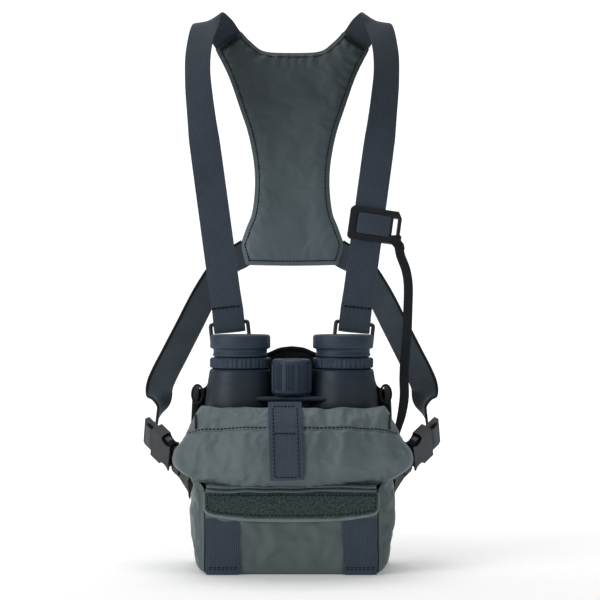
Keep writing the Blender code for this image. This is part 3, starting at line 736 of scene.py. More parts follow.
def edge_distances(points, edge):
    """Each point's distance from a closed outline, and its place along it in mm."""
    a = np.array([tuple(p)[:2] for p in edge], float)
    b = np.roll(a, -1, axis=0)
    lengths = np.linalg.norm(b - a, axis=1)
    starts = np.concatenate([[0.0], np.cumsum(lengths)[:-1]])
    p = np.array(points, float)[:, None, :]
    share = ((p - a) * (b - a)).sum(2) / (lengths ** 2)
    share = np.clip(share, 0.0, 1.0)
    gaps = np.linalg.norm(p - (a + share[..., None] * (b - a)), axis=2)
    nearest = gaps.argmin(1)
    rows = np.arange(len(nearest))
    return gaps[rows, nearest], starts[nearest] + share[rows, nearest] * lengths[nearest]


def filled(outline, step):
    """Triangles that fill an outline, and each point's distance from its edge and place along it."""
    edge = dense(outline, step)
    ring = np.array([tuple(p)[:2] for p in edge], float)
    low, high = ring.min(0), ring.max(0)
    inner = []
    rise = step * 0.866
    for j in range(int((high[1] - low[1]) / rise) + 1):
        for i in range(int((high[0] - low[0]) / step) + 2):
            inner.append((low[0] + (i + 0.5 * (j % 2)) * step, low[1] + (j + 0.5) * rise))
    inner = np.array(inner)
    ahead = np.roll(ring, -1, axis=0)
    x, y = inner[:, :1], inner[:, 1:]
    spans = (ring[:, 1] > y) != (ahead[:, 1] > y)
    with np.errstate(divide="ignore", invalid="ignore"):
        cross = (ahead[:, 0] - ring[:, 0]) * (y - ring[:, 1]) / (ahead[:, 1] - ring[:, 1]) + ring[:, 0]
    inside = ((spans & (x < cross)).sum(1) % 2) == 1
    clear = edge_distances(inner, edge)[0] > step * 0.55
    seeds = [Vector(p) for p in ring] + [Vector(p) for p in inner[inside & clear]]
    found = delaunay_2d_cdt(seeds, [], [list(range(len(ring)))], 1, 1e-6)
    points = [tuple(p) for p in found[0]]
    away, along = edge_distances(points, edge)
    return points, [tuple(f) for f in found[2]], away, along


def pad_shape(outline, step, place, front, back):
    """A closed panel; its surfaces take a, b, the distance from the edge and the place along it."""
    flat, triangles, away, along = filled(outline, step)
    count = len(flat)
    points = []
    for surface in (front, back):
        for (a, b), d, s in zip(flat, away, along):
            points.append(place(a, b, surface(a, b, d, s)))
    faces = []
    borders = set()
    for face in triangles:
        faces.append(face)
        faces.append(tuple(i + count for i in reversed(face)))
        for i in range(3):
            borders.add((face[i], face[(i + 1) % 3]))
    for i, k in borders:
        if (k, i) not in borders:
            faces.append((k, i, i + count, k + count))
    return points, faces, list(away) * 2


def on_y(a, b, height):
    """A panel facing the front: height measured towards the front."""
    return (a, -height, b)


def level(height):
    """A flat surface of a panel."""
    return lambda a, b, d, s: height


def add_pad(name, outline, step, front, back, look, replaces, place=on_y):
    """A panel of the pack, filled in from its outline; also gives each point's distance from the edge."""
    points, faces, away = pad_shape(outline, step, place, front, back)
    return piece(name, points, faces, look, "pack", replaces=replaces), away


def inset_line(outline, distance, step=2.0):
    """The closed outline moved inwards, as a list of (a, b) points."""
    edge = dense(outline, step)
    area = sum(a.x * b.y - b.x * a.y for a, b in zip(edge, edge[1:] + edge[:1]))
    turn = 1 if area > 0 else -1
    out = []
    for i, point in enumerate(edge):
        ahead = edge[(i + 1) % len(edge)] - edge[i - 1]
        inward = Vector((-ahead.y, ahead.x)).normalized() * (distance * turn)
        out.append(point + inward)
    return out


# Shoulder straps and rings

WEB = 25.0
SIDE_WEB = 20.0
WEB_THICK = 1.4
GAP = 0.3
FRONT_Y = -35.0                # outer faces of the pouch's front and back
BACK_Y = 33.0
FRONT_TOP = 62.0
SKIN = 2.0                     # thickness of the pouch's back panel
PAD_SEAM = 3.2                 # distance of each seam from its panel's edge
STRIP_SEAM = 1.9
PAD_EDGE = 2.2                 # thickness of the chest pad's edge
STRAP_FOOT = Vector((-47.5, 36.0, 176.2))
STRAP_UP = Vector((-0.105, 0.085, 0.99)).normalized()
SHOULDER_ROUTE = [
    (-51.4, 38.6, 205.0), (-65.3, 47.4, 305.0), (-69.5, 52.5, 335.0), (-73.3, 59.5, 372.0),
    (-72.4, 67.5, 397.0), (-66.6, 79.5, 417.5), (-58.4, 91.5, 414.8), (-52.1, 100.5, 407.1),
]
SHOULDER_SIDES = [
    (1, -0.05, 0.10), (1, -0.05, 0.10), (0.93, -0.35, 0.08), (0.84, -0.52, 0.08),
    (0.85, -0.40, 0.20), (0.93, -0.05, 0.35), (0.87, 0.0, 0.48), (0.818, 0.0, 0.575),
]
RING_HALF = 14.3
RING_HEIGHT = 12.6
RING_WIRE = 1.5
RING_BEND = 1.5
RING_SLACK = 4.2               # how far the ring's upper bar stands above the turn of webbing
HEM_HEIGHT = 15.5              # how far the strap's end is turned up behind the ring
HEM_SEAM = 16.6
HEM_HALF = 11.6                # half widths of the stitched rows
LOOP_ROW_HALF = 10.5
LOOP_TURN_Z = 157.0            # where the ring loops leave the back panel


def strap_axes():
    across = Vector((1.0, 0.0, 0.106))
    across = (across - STRAP_UP * across.dot(STRAP_UP)).normalized()
    return across, STRAP_UP.cross(across).normalized() * -1


def bar_loop(centre, up, forward, radius, turn_from, turn_to, steps):
    """Points round a bar: up and forward span the plane across it, angles from forward."""
    out = []
    for i in range(steps + 1):
        angle = math.radians(turn_from + (turn_to - turn_from) * i / steps)
        out.append(centre + forward * (radius * math.cos(angle)) + up * (radius * math.sin(angle)))
    return out


def stitched_rows(name, rows, side, **options):
    """Stitch rows on the pack, each (path, normal), mirrored to a side."""
    seam = Stitches()
    for path, normal in rows:
        seam.row(mirror(path, side), mirror([normal], side)[0], **options)
    seam.make(name)


def seam_round(name, line, y, normal, radius):
    """One stitched row round a panel, on the outline given."""
    path = [Vector((p.x, y, p.y)) for p in line]
    seam = Stitches()
    seam.row(path + path[:1], normal, radius=radius)
    seam.make(name)


def make_shoulder_straps():
    across, forward = strap_axes()
    radius = RING_WIRE + GAP + WEB_THICK / 2
    hem = STRAP_FOOT - forward * (WEB_THICK / 2 + 0.9) + STRAP_UP * HEM_HEIGHT
    start = STRAP_FOOT - forward * radius + STRAP_UP * 5.0
    turn = bar_loop(STRAP_FOOT, STRAP_UP, forward, radius, 180, 360, 12)
    rise = STRAP_FOOT + forward * (WEB_THICK / 2 + 0.4) + STRAP_UP * HEM_HEIGHT
    rest = smooth_path(SHOULDER_ROUTE, 12)
    tuck = (rest[-1] - rest[-2]).normalized() * 3.0
    path = [hem, start] + turn + [rise] + rest + [rest[-1] + tuck, rest[-1] + tuck * 2]
    sides = [across] * (len(turn) + 3)
    sides += smooth_path(SHOULDER_SIDES + SHOULDER_SIDES[-1:], 12)[:len(rest) + 2]
    front = forward * (WEB_THICK + 0.4)
    for name, side in SIDES.items():
        add_strap("shoulder_strap." + name, path, sides, WEB - 1.2, WEB_THICK, "webbing", side=-side,
                  replaces=["shoulder_strap_" + name], ripple=0.12)
        rows = []
        for height in (HEM_SEAM, HEM_SEAM - 0.7):
            foot = STRAP_FOOT + front + STRAP_UP * height
            rows.append(([foot - across * HEM_HALF, foot + across * HEM_HALF], forward))
        stitched_rows("strap_hem_stitches." + name, rows, -side, length=2.8, gap=0.25, radius=0.45)

        centre = STRAP_FOOT + STRAP_UP * ((RING_SLACK - RING_HEIGHT) / 2)
        ring = []
        half_wide = RING_HALF - RING_BEND
        half_tall = (RING_HEIGHT + RING_SLACK) / 2 - RING_BEND
        for a, b, first in ((1, 1, 0), (-1, 1, 90), (-1, -1, 180), (1, -1, 270)):
            corner = centre + across * (a * half_wide) + STRAP_UP * (b * half_tall)
            ring += bar_loop(corner, STRAP_UP, across, RING_BEND, first, first + 90, 4)
        add_tube("strap_ring." + name, ring, RING_WIRE, "ring", "pack", "wire", -side,
                 replaces=["strap_ring_" + name], sides=12, closed=True)

        bar = STRAP_FOOT - STRAP_UP * RING_HEIGHT
        inside = BACK_Y - SKIN - 2 * GAP - WEB_THICK / 2
        outside = BACK_Y + 2 * GAP + WEB_THICK / 2
        loop = [Vector((bar.x, inside, z)) for z in (132.0, 140.0, 149.0, LOOP_TURN_Z)]
        loop += bar_loop(bar, STRAP_UP, forward, radius, 0, 180, 12)
        loop += [Vector((bar.x, outside, z)) for z in (LOOP_TURN_Z, 150.0, 143.5)]
        add_strap("ring_loop." + name, loop, across, WEB - 1.0, WEB_THICK, "webbing", side=-side,
                  replaces=["ring_loop_" + name])
        rows = []
        for y, normal in ((inside - 0.8, FORWARDS), (outside + 0.8, BACKWARDS)):
            for z in (147.0, 152.5):
                ends = [Vector((bar.x + a, y, z)) for a in (-LOOP_ROW_HALF, LOOP_ROW_HALF)]
                rows.append((ends, normal))
        stitched_rows("ring_loop_stitches." + name, rows, -side)


# Yoke

YOKE_Y = 98.0
YOKE_DEEP = 7.6
YOKE_BASE = 227.0
YOKE_SEAM = 2.6                # distance of the yoke's seam from its edge
HORN_LOW = (60.7, 399.0)       # ends of the edge that each shoulder strap is sewn to
HORN_HIGH = (41.5, 412.5)


def yoke_outline():
    neck = [(10.0, 395.3), (20.0, 396.0), (26.5, 398.2), (32.0, 402.6), (37.2, 407.4), HORN_HIGH]
    top = [(-a, b) for a, b in neck[::-1]] + neck
    right = [HORN_LOW, (50.2, 378.0), (40.7, 351.0), (34.2, 331.0), (29.8, 308.0), (29.0, 288.0),
             (31.2, 268.0), (35.7, 256.0), (40.7, 242.0)]
    foot = [(36.4, YOKE_BASE), (0.0, YOKE_BASE - 0.6), (-36.4, YOKE_BASE)]
    left = [(-a, b) for a, b in right[::-1]]
    return smooth_runs(top, [top[-1], right[0]], right, [right[-1], foot[0]], foot, [foot[-1], left[0]],
                       left, [left[-1], top[0]])


def make_yoke():
    outline = yoke_outline()

    def crown(a, b, d, s, reach):
        """A thin bound edge, a stitched channel, then the foam, gathered most below the neck."""
        rise = reach * (1 - math.exp(-max(d - 1.0, 0.0) / 4.0))
        channel = 0.8 * bell(d, YOKE_SEAM, 0.8)
        pull = 0.25 + 0.75 / (1 + math.exp((378.0 - b) / 6.0))
        gather = pull * math.sin(s * 0.8 + 1.7 * math.sin(s * 0.13)) * bell(d, 5.5, 4.2)
        crumple = 0.5 * wobble(a, b, 0, 0.045, 8.0) * min(1.0, d / 12)
        return rise - channel + gather + crumple

    def front(a, b, d, s):
        return -YOKE_Y - 1.6 + crown(a, b, d, s, 2.0)

    def back(a, b, d, s):
        return -YOKE_Y - YOKE_DEEP + 1.6 - crown(a, b, d, s + 40.0, 1.9)

    yoke, away = add_pad("yoke_pad", outline, 2.6, front, back, "yoke",
                         ["yoke_lining", "yoke_foam", "yoke_shell"])

    def sewn(i):
        return 1.0 if away[i] < YOKE_SEAM + 0.8 else 0.0

    settle(yoke, sewn, pressure=0.9, grow=0.012, cap=1.6)
    finer(yoke)

    edge = [Vector((p.x, YOKE_Y + YOKE_DEEP / 2, p.y)) for p in inset_line(outline, 0.2, 3.0)]
    add_tube("yoke_binding", edge, 1.25, "yoke", "pack", "binding", sides=8, closed=True)

    line = inset_line(outline, YOKE_SEAM)
    seam = Stitches()
    for depth, normal in ((YOKE_Y + 0.95, FORWARDS), (YOKE_Y + YOKE_DEEP - 0.95, BACKWARDS)):
        path = [Vector((p.x, depth, p.y)) for p in line]
        seam.row(path + path[:1], normal, radius=0.42, length=2.6, gap=0.3)
    low, high = Vector(HORN_LOW), Vector(HORN_HIGH)
    inward = Vector((-0.575, -0.818))
    for side in SIDES.values():
        for step in (1.7, 3.9):
            ends = [low.lerp(high, share) + inward * step for share in (0.10, 0.88)]
            path = mirror([Vector((p.x, YOKE_Y - 0.35, p.y)) for p in ends], side)
            seam.row(path, FORWARDS, radius=0.5, length=2.8, gap=0.25)
    seam.make("yoke_stitches")


# Side straps, loops and tabs

SIDE_ROUTE = [
    (41.6, 101.6, 233.0), (53.5, 100.0, 225.5), (68.5, 95.0, 203.0), (81.2, 81.0, 177.0),
    (91.0, 68.5, 156.5), (99.0, 56.5, 139.5), (102.0, 51.0, 130.0),
]
SIDE_TURN = [(101.4, 46.0, 119.5), (102.6, 41.0, 110.0)]
BUCKLE_OUTER = Vector((111.2, 32.0, 99.8))
BUCKLE_U = Vector((-0.66, -0.50, -0.56)).normalized()
BUCKLE_W = BUCKLE_U.cross(Vector((-0.10, -0.66, 0.74))).normalized()
BUCKLE_V = BUCKLE_W.cross(BUCKLE_U)
SOCKET_LENGTH = 34.0
BUCKLE_LENGTH = 51.2
FRAME_BAR = (5.9, 8.1)         # centres of the turns of webbing round the socket's frame bar
FRAME_WRAP = 2.75
BAR_RADIUS = 4.0               # radius of the side tab's turn round the plug's bar
TAB_BAR = BUCKLE_LENGTH - 1.5  # the bar's place along the buckle
GRIP_RIBS = 4
GUSSET_X = 72.8
BINO_BASE = 15.0                # underside of the binoculars, on the floor foam


def buckle_point(u, v, w):
    return BUCKLE_OUTER + BUCKLE_U * u + BUCKLE_V * v + BUCKLE_W * w


def frame_loop():
    """Webbing round the bar of the socket's frame, its ends lapped behind it."""
    near, far = FRAME_BAR
    path = [buckle_point(near - 1.5, 0, FRAME_WRAP + 1.3), buckle_point(far, 0, FRAME_WRAP + 0.2)]
    for centre, start in ((far, 75), (near, 270)):
        for k in range(12):
            angle = math.radians(start - 15 * k)
            reach = centre + FRAME_WRAP * math.cos(angle)
            path.append(buckle_point(reach, 0, FRAME_WRAP * math.sin(angle)))
    return path[:-1]


def side_strap_path():
    """Middle line of a side strap, from inside the yoke to its buckle, and the directions across it."""
    start = Vector(SIDE_ROUTE[0])
    tuck = (start - Vector(SIDE_ROUTE[1])).normalized() * 7.0
    end = buckle_point(sum(FRAME_BAR) / 2, 0, FRAME_WRAP + 1.7)
    straight = smooth_path([start + tuck] + SIDE_ROUTE, 9)
    path = smooth_path([start + tuck] + SIDE_ROUTE + SIDE_TURN + [end], 9)
    facing = Vector((-0.2, -0.98, 0.0))
    sides = []
    for i in range(len(path)):
        forward = path[min(i + 1, len(path) - 1)] - path[max(i - 1, 0)]
        flat = forward.cross(facing).normalized()
        share = min(max((i - len(straight) + 1) / (len(path) - len(straight) - 9), 0.0), 1.0)
        sides.append(flat.lerp(-BUCKLE_V, share * share * (3 - 2 * share)).normalized())
    return path, sides


def make_side_straps():
    path, sides = side_strap_path()
    frames = path_frames(path, sides)
    for name, side in SIDES.items():
        buckle = "buckle_" + name
        hold, carried = mirror([SIDE_ROUTE[-1], SIDE_TURN[-1]], side)
        strap = add_strap("side_strap." + name, path, sides, SIDE_WEB, WEB_THICK, "side_webbing", None,
                          side=side, replaces=["side_strap_" + name, "side_strap_tail_" + name],
                          ripple=0.15)
        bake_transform(strap)
        # painted shade: a black strip along one edge of the side strap stands in for the shade on the
        # strap's edge and back
        edge = [p - f[1] * (SIDE_WEB / 2 - 0.2) for p, f in zip(path, frames)]
        bound = add_strap("side_strap_shade_edge." + name, edge, sides, 2.2, 2.0, "binding", None, side=side,
                          edge=0.6)
        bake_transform(bound)

        loop = frame_loop()
        add_strap("strap_end_loop." + name, loop, BUCKLE_V, SIDE_WEB, WEB_THICK, "side_webbing", buckle,
                  side=side, replaces=["strap_end_loop_" + name])

        face = GUSSET_X + GAP + WEB_THICK / 2
        down = Vector((0.0, BUCKLE_U.y, BUCKLE_U.z)).normalized()
        flat = Vector((0.0, BUCKLE_V.y, BUCKLE_V.z)).normalized()
        bar = buckle_point(TAB_BAR, 0, 0)

        def on_gusset(layer, distance):
            point = bar + down * distance
            return Vector((face + layer * (WEB_THICK + GAP), point.y, point.z))

        tab = [on_gusset(0, d) for d in (20.0, 16.5, 13.0, 9.5)]
        for i in range(13):
            angle = math.radians(90 + 15 * i)
            reach = TAB_BAR + BAR_RADIUS * math.cos(angle)
            tab.append(buckle_point(reach, 0, BAR_RADIUS * math.sin(angle)))
        tab += [on_gusset(1, d) for d in (15.0, 17.5, 20.0)]
        across = [flat] * 4 + [BUCKLE_V] * 13 + [flat] * 3
        # painted shade: the side tab takes near-black webbing for the shade under the lid
        add_strap("side_tab." + name, tab, across, SIDE_WEB, WEB_THICK, "shaded_black_webbing", side=side,
                  replaces=["side_tab_" + name])
        top = Vector((WEB_THICK / 2 + 0.1, 0, 0))
        box_corners = ((14.5, -8), (18.8, -8), (18.8, 8), (14.5, 8))
        corners = [on_gusset(1, d) + top + flat * v for d, v in box_corners]
        box = [(corners[i], corners[(i + 1) % 4]) for i in range(4)]
        rows = [([a, b], SIDEWAYS) for a, b in box]
        stitched_rows("side_tab_stitches." + name, rows, side)


# Buckles and keeper

def make_hardware():
    for name, side in SIDES.items():
        soften("buckle_socket_" + name, 0.8, 3, "buckle")
        soften("buckle_plug_" + name, 0.6, 2, "buckle")
        for edge, sign in (("upper", 1), ("lower", -1)):
            node = "prong_" + edge + "_" + name
            soften(node, 0.7, 3, "buckle")
            for k in range(GRIP_RIBS):
                u = SOCKET_LENGTH - 9.4 + 1.7 * k
                v = sign * (13.05 - 0.25 * k + (0.35 if k < 2 else 0.15))
                rib = [buckle_point(u, v - 0.2 * sign, w) for w in (-1.7, 1.7)]
                add_tube("grip_rib_" + edge + "_" + str(k + 1) + "." + name, rib, 0.42, "buckle", node,
                         "buckle", side, sides=8)
    soften("keeper", 1.7, 4, "buckle")


KEEPER_Z = 256.0                # height of the keeper's middle on the right strap


def keeper_point(a, b, c):
    """a across the right strap towards the outside, b up along it, c out of its front."""
    bottom, top = Vector(SHOULDER_ROUTE[0]), Vector(SHOULDER_ROUTE[1])
    centre = bottom.lerp(top, (KEEPER_Z - bottom.z) / (top.z - bottom.z))
    up = (top - bottom).normalized()
    across = Vector(SHOULDER_SIDES[0])
    across = (across - up * across.dot(up)).normalized()
    point = centre - across * a + up * b + across.cross(up).normalized() * c
    return Vector((-point.x, point.y, point.z))


# Pouch

CORNER = 16.0
SEAM_BACK = BACK_Y - SKIN - GAP
# The gusset's upper edge from the back panel forwards: depth and height
RIM = [(SEAM_BACK, 131.0), (14.0, 129.0), (-4.0, 112.0), (-18.7, 84.0)]
SEAM_TURN = 67.2               # where the front seam stands on the corner, in degrees from +X
SIDE_RUN = SEAM_BACK - (FRONT_Y + CORNER)
CORNER_RUN = math.radians(90) * CORNER
FRONT_RUN = 2 * (GUSSET_X - CORNER)
SEAM_RUN = SIDE_RUN + math.radians(SEAM_TURN) * CORNER
PLAN_RUN = 2 * SIDE_RUN + 2 * CORNER_RUN + FRONT_RUN


def plan_point(s, inset=0.0):
    """A point and its outward direction on the pouch's plan, s mm from the left back edge."""
    side = -1 if s < PLAN_RUN / 2 else 1
    s = min(s, PLAN_RUN - s)
    if s < SIDE_RUN:
        place, normal = Vector((GUSSET_X - inset, SEAM_BACK - s)), Vector((1.0, 0.0))
    elif s < SIDE_RUN + CORNER_RUN:
        angle = (s - SIDE_RUN) / CORNER
        normal = Vector((math.cos(angle), -math.sin(angle)))
        place = Vector((GUSSET_X - CORNER, FRONT_Y + CORNER)) + normal * (CORNER - inset)
    else:
        place = Vector((GUSSET_X - CORNER - (s - SIDE_RUN - CORNER_RUN), FRONT_Y + inset))
        normal = Vector((0.0, -1.0))
    return Vector((place.x * side, place.y)), Vector((normal.x * side, normal.y))


def side_top(s):
    """Height of the pouch's side at s mm from its back edge."""
    s = min(s, PLAN_RUN - s)
    stops = [(SEAM_BACK - y, z) for y, z in RIM] + [(SEAM_RUN, FRONT_TOP)]
    for (a, low), (b, high) in zip(stops, stops[1:]):
        if s <= b:
            return low + (high - low) * (s - a) / (b - a)
    return FRONT_TOP


def pouch_point(s, z):
    """The pouch's cloth: rounded in at the floor, with a little slack and a few folds."""
    normal = plan_point(s)[1]
    sideways = normal.x ** 2
    reach_in = 2.2 + 7.4 * sideways
    reach_up = 3.5 + 21.0 * sideways
    inset = 0.0
    if z < reach_up:
        share = 1 - z / reach_up
        inset = reach_in * (1 - math.sqrt(max(1 - share * share, 0.0)))
    place = plan_point(s, inset)[0]
    height = z + 2.0 * sideways * max(1 - z / 12.0, 0.0)
    slack = 1.7 * wobble(place.x, place.y, z * 0.45, 0.045, 3.0) * (0.3 + 1.0 * sideways)
    slack += 0.75 * wobble(place.x, place.y, z, 0.11, 9.0)
    calm = min(1.0, z / 8.0)
    return Vector((place.x + normal.x * slack * calm, place.y + normal.y * slack * calm, height))


def make_pouch_walls():
    def front(u, v):
        s = SEAM_RUN + (PLAN_RUN - 2 * SEAM_RUN) * u
        tuck = 0.9 * math.exp(-min(u, 1 - u) * 60)
        return pouch_point(s, FRONT_TOP * v) + Vector((0, tuck, 0))

    def held(u, v):
        return 1.0 if v < 0.06 or v > 0.9 or min(u, 1 - u) < 0.02 else 0.0

    cloth_sheet("front_fabric", front, 64, 30, "pouch", "pack", "coated_fabric", 1.2,
                replaces=["front_panel"], hold=held, grow=0.012, pressure=0.25, cap=1.2)

    for name, side in SIDES.items():
        def flank(u, v):
            s = SEAM_RUN * u if side < 0 else PLAN_RUN - SEAM_RUN * (1 - u)
            point = pouch_point(s, side_top(s) * v)
            gap = abs(s - (SEAM_RUN if side < 0 else PLAN_RUN - SEAM_RUN))
            normal = plan_point(s)[1]
            lift = 0.7 * bell(gap, 0.0, 1.3) - 0.8 * bell(gap, 3.0, 1.4)
            return point + Vector((normal.x, normal.y, 0)) * lift

        def held(u, v):
            near = u if side < 0 else 1 - u
            return 1.0 if v < 0.05 or v > 0.95 or near < 0.03 or near > 0.94 else 0.0

        cloth_sheet("side_fabric." + name, flank, 44, 56, "pouch", "pack", "coated_fabric", 1.2,
                    replaces=["gusset_" + name], hold=held, grow=0.03, pressure=0.15, cap=2.0)

        path = smooth_path([(GUSSET_X - 1.0, y - 0.2, z + 1.2) for y, z in RIM], 8)
        add_strap("rim_binding." + name, path, SIDEWAYS, 4.4, 2.6, "binding", side=side,
                  replaces=["rim_binding_" + name], edge=0.6)

        edge = 0.2 if side < 0 else PLAN_RUN - 0.2
        places = [pouch_point(edge, z) for z in steps_between(1.5, 128.5, 32)]
        path = [Vector((abs(p.x) - 0.9, BACK_Y - SKIN - 0.6, p.z)) for p in places]
        add_strap("corner_tape." + name, path, SIDEWAYS, 3.6, 2.4, "binding", side=side, edge=0.6)


def plan_outline(inset, side_inset):
    """The pouch's plan, moved inwards all round and by more at its sides."""
    out = []
    for s in steps_between(0.0, PLAN_RUN, 80):
        out.append(tuple(plan_point(s, inset + side_inset * plan_point(s)[1].x ** 2)[0]))
    return out


def make_pouch_floor():
    def curled(a, b, height):
        return (a, b, height + 2.2 * max(0, (abs(a) - 52) / 16) ** 2)

    def flat(a, b, height):
        return (a, b, height)

    def foam_top(a, b, d, s):
        return BINO_BASE - 1.0 - 0.8 * math.exp(-d / 1.5)

    add_pad("base_fabric", plan_outline(2.8, 7.4), 6.0, level(1.6), level(0.0), "pouch",
            ["base_panel"], curled)
    add_pad("floor_foam", plan_outline(3.8, 7.0), 6.0, foam_top, level(2.6), "foam",
            ["base_foam"], flat)


def make_pouch_back():
    shoulder = [(GUSSET_X, 126.0), (71.0, 129.5), (66.0, 131.0), (63.0, 134.0), (61.0, 140.0),
                (58.0, 146.0), (54.0, 149.0), (42.0, 152.3), (30.0, 153.8), (18.0, 157.4),
                (9.0, 161.2), (0.0, 162.4)]
    curve = smooth_path([(a, b, 0.0) for a, b in shoulder], 4)
    corner = [(GUSSET_X - 12.0, 2.0), (GUSSET_X - 6.5, 4.0), (GUSSET_X - 3.0, 8.5),
              (GUSSET_X - 1.2, 15.0), (GUSSET_X - 0.4, 24.0)]
    half = [(0.0, 2.0)] + corner + [(p.x, p.y) for p in curve]
    outline = mirrored_outline(half)

    def front_face(a, b, d, s):
        return -BACK_Y + SKIN - 0.2 + 0.35 * wobble(a, b, 0, 0.05, 5.0) * min(1, d / 8)

    add_pad("back_fabric", outline, 5.0, front_face, level(-BACK_Y), "lining",
            ["back_panel"])
    top = [Vector((p.x, BACK_Y - SKIN / 2, p.y - 1.1)) for p in curve]
    top = [Vector((GUSSET_X, BACK_Y - SKIN / 2, 118.0))] + top
    top += [Vector((-p.x, p.y, p.z)) for p in top[-2::-1]]
    add_strap("arch_binding", top, BACKWARDS, 3.9, 3.4, "binding", edge=0.5)


def make_back_pad():
    inset = 6.0
    pad_half = [(0.0, inset), (GUSSET_X - inset - 8, inset), (GUSSET_X - inset, inset + 8),
                (GUSSET_X - inset, 112.0), (62.0, 126.0), (48.0, 136.0), (20.0, 141.0), (0.0, 142.0)]
    pad_outline = mirrored_outline(pad_half)

    def cushion(a, b, d, s):
        crown = 3.4 * (1 - math.exp(-max(d - 1.0, 0) / 5.0)) - 0.9 * bell(d, PAD_SEAM, 1.2)
        for channel in (40.0, 74.0, 108.0):
            crown -= 1.5 * bell(b, channel, 2.4) * min(1.0, d / 10)
        return -BACK_Y - GAP - PAD_EDGE - crown

    pad, _ = add_pad("back_pad_cover", pad_outline, 3.6, level(-BACK_Y - GAP), cushion, "mesh",
                     ["back_pad"])
    finer(pad)
    seam_round("back_pad_stitches", inset_line(pad_outline, PAD_SEAM), BACK_Y + GAP + PAD_EDGE + 1.0,
               BACKWARDS, 0.32)


# Front trim: webbing, flap, loop strip and the folded hinge

def half_outline(points, top):
    """A symmetrical outline from its right lower edge up to its top, rounded at the corners."""
    line = smooth_path([(a, b, 0.0) for a, b in points], 5)
    half = [(p.x, p.y) for p in line] + [(0.0, top)]
    return mirrored_outline(half)


FRONT_WEB_X = 49.3
# The front webbing from its hem at the floor up to the flap: depth from the front, and height
FRONT_WEB_LINE = [
    (0.1, 3.2), (-0.4, 1.2), (-1.1, 1.0), (-1.5, 2.4), (-0.95, 6.5), (-0.8, 20.0), (-0.75, 36.0),
    (-0.1, 40.6),
]


def make_front_trim():
    face = FRONT_Y - GAP
    for name, side in SIDES.items():
        middle = side * FRONT_WEB_X
        path = smooth_path([(middle, face + a, b) for a, b in FRONT_WEB_LINE], 5)
        add_strap("front_webbing." + name, path, SIDEWAYS, WEB - 0.6, 1.3, "webbing",
                  replaces=["front_webbing_" + name])
        rows = []
        for z in (4.2, 5.6):
            ends = [Vector((middle + a, face - 1.75, z)) for a in (-LOOP_ROW_HALF, LOOP_ROW_HALF)]
            rows.append((ends, FORWARDS))
        stitched_rows("front_webbing_stitches." + name, rows, 1, radius=0.34)

    flap = half_outline([(0.0, 38.2), (20.0, 38.4), (38.0, 39.4), (52.0, 41.3), (59.5, 43.0),
                         (62.6, 45.6), (63.4, 50.0), (63.4, 60.0)], 60.0)

    def flap_front(a, b, d, s):
        lip = 1.25 * bell(d, 1.5, 1.35)
        return -face + 0.9 + lip + 0.12 * math.sin(s * 0.5) * math.exp(-d / 3)

    add_pad("flap_panel", flap, 1.7, flap_front, level(-face), "piping", ["front_flap"])

    strip = half_outline([(0.0, 41.2), (20.0, 41.4), (38.0, 42.3), (52.0, 43.8), (59.0, 45.2),
                          (61.6, 47.4), (62.2, 51.0), (62.4, 59.6)], 59.6)
    strip_back = -face + 1.6 + GAP

    def pile_front(a, b, d, s):
        grain = 0.28 * wobble(a, b, 0, 0.9, 2.0) + 0.2 * wobble(a, b, 0, 0.23, 6.0)
        return strip_back + 1.15 + 0.3 * min(1.0, d / 1.2) + grain

    add_pad("pile_strip", strip, 1.3, pile_front, level(strip_back - 0.6), "pile",
            ["loop_strip"])
    make_pile_loops(strip, strip_back + 1.2)

    seam_round("pile_strip_stitches", inset_line(strip, STRIP_SEAM), -strip_back - 1.75, FORWARDS, 0.36)
    make_hinge_fold()


def make_pile_loops(outline, height):
    """The strip's loop pile: a few thousand small thread arcs standing on it."""
    dice = random.Random(11)
    flat, _, away, _ = filled(outline, 1.25)
    points = []
    faces = []
    for (a, b), d in zip(flat, away):
        if d < 0.5 or abs(d - STRIP_SEAM) < 0.5:
            continue
        turn = dice.uniform(0, math.pi)
        tall = dice.uniform(0.35, 0.85)
        wide = dice.uniform(0.35, 0.6)
        lean = (dice.uniform(-0.35, 0.35), dice.uniform(-0.35, 0.35))
        a += dice.uniform(-0.5, 0.5)
        b += dice.uniform(-0.5, 0.5)
        arch = []
        for k in range(5):
            angle = math.pi * k / 4
            reach = wide * math.cos(angle)
            rise = tall * math.sin(angle)
            arch.append(Vector((a + reach * math.cos(turn) + lean[0] * rise, -height - rise + 0.15,
                                b + reach * math.sin(turn) + lean[1] * rise)))
        shape, quads = tube_shape(arch, 0.13, 4)
        base = len(points)
        points += shape
        faces += [tuple(i + base for i in quad) for quad in quads]
    piece("pile_loops", points, faces, "pile", "pack")


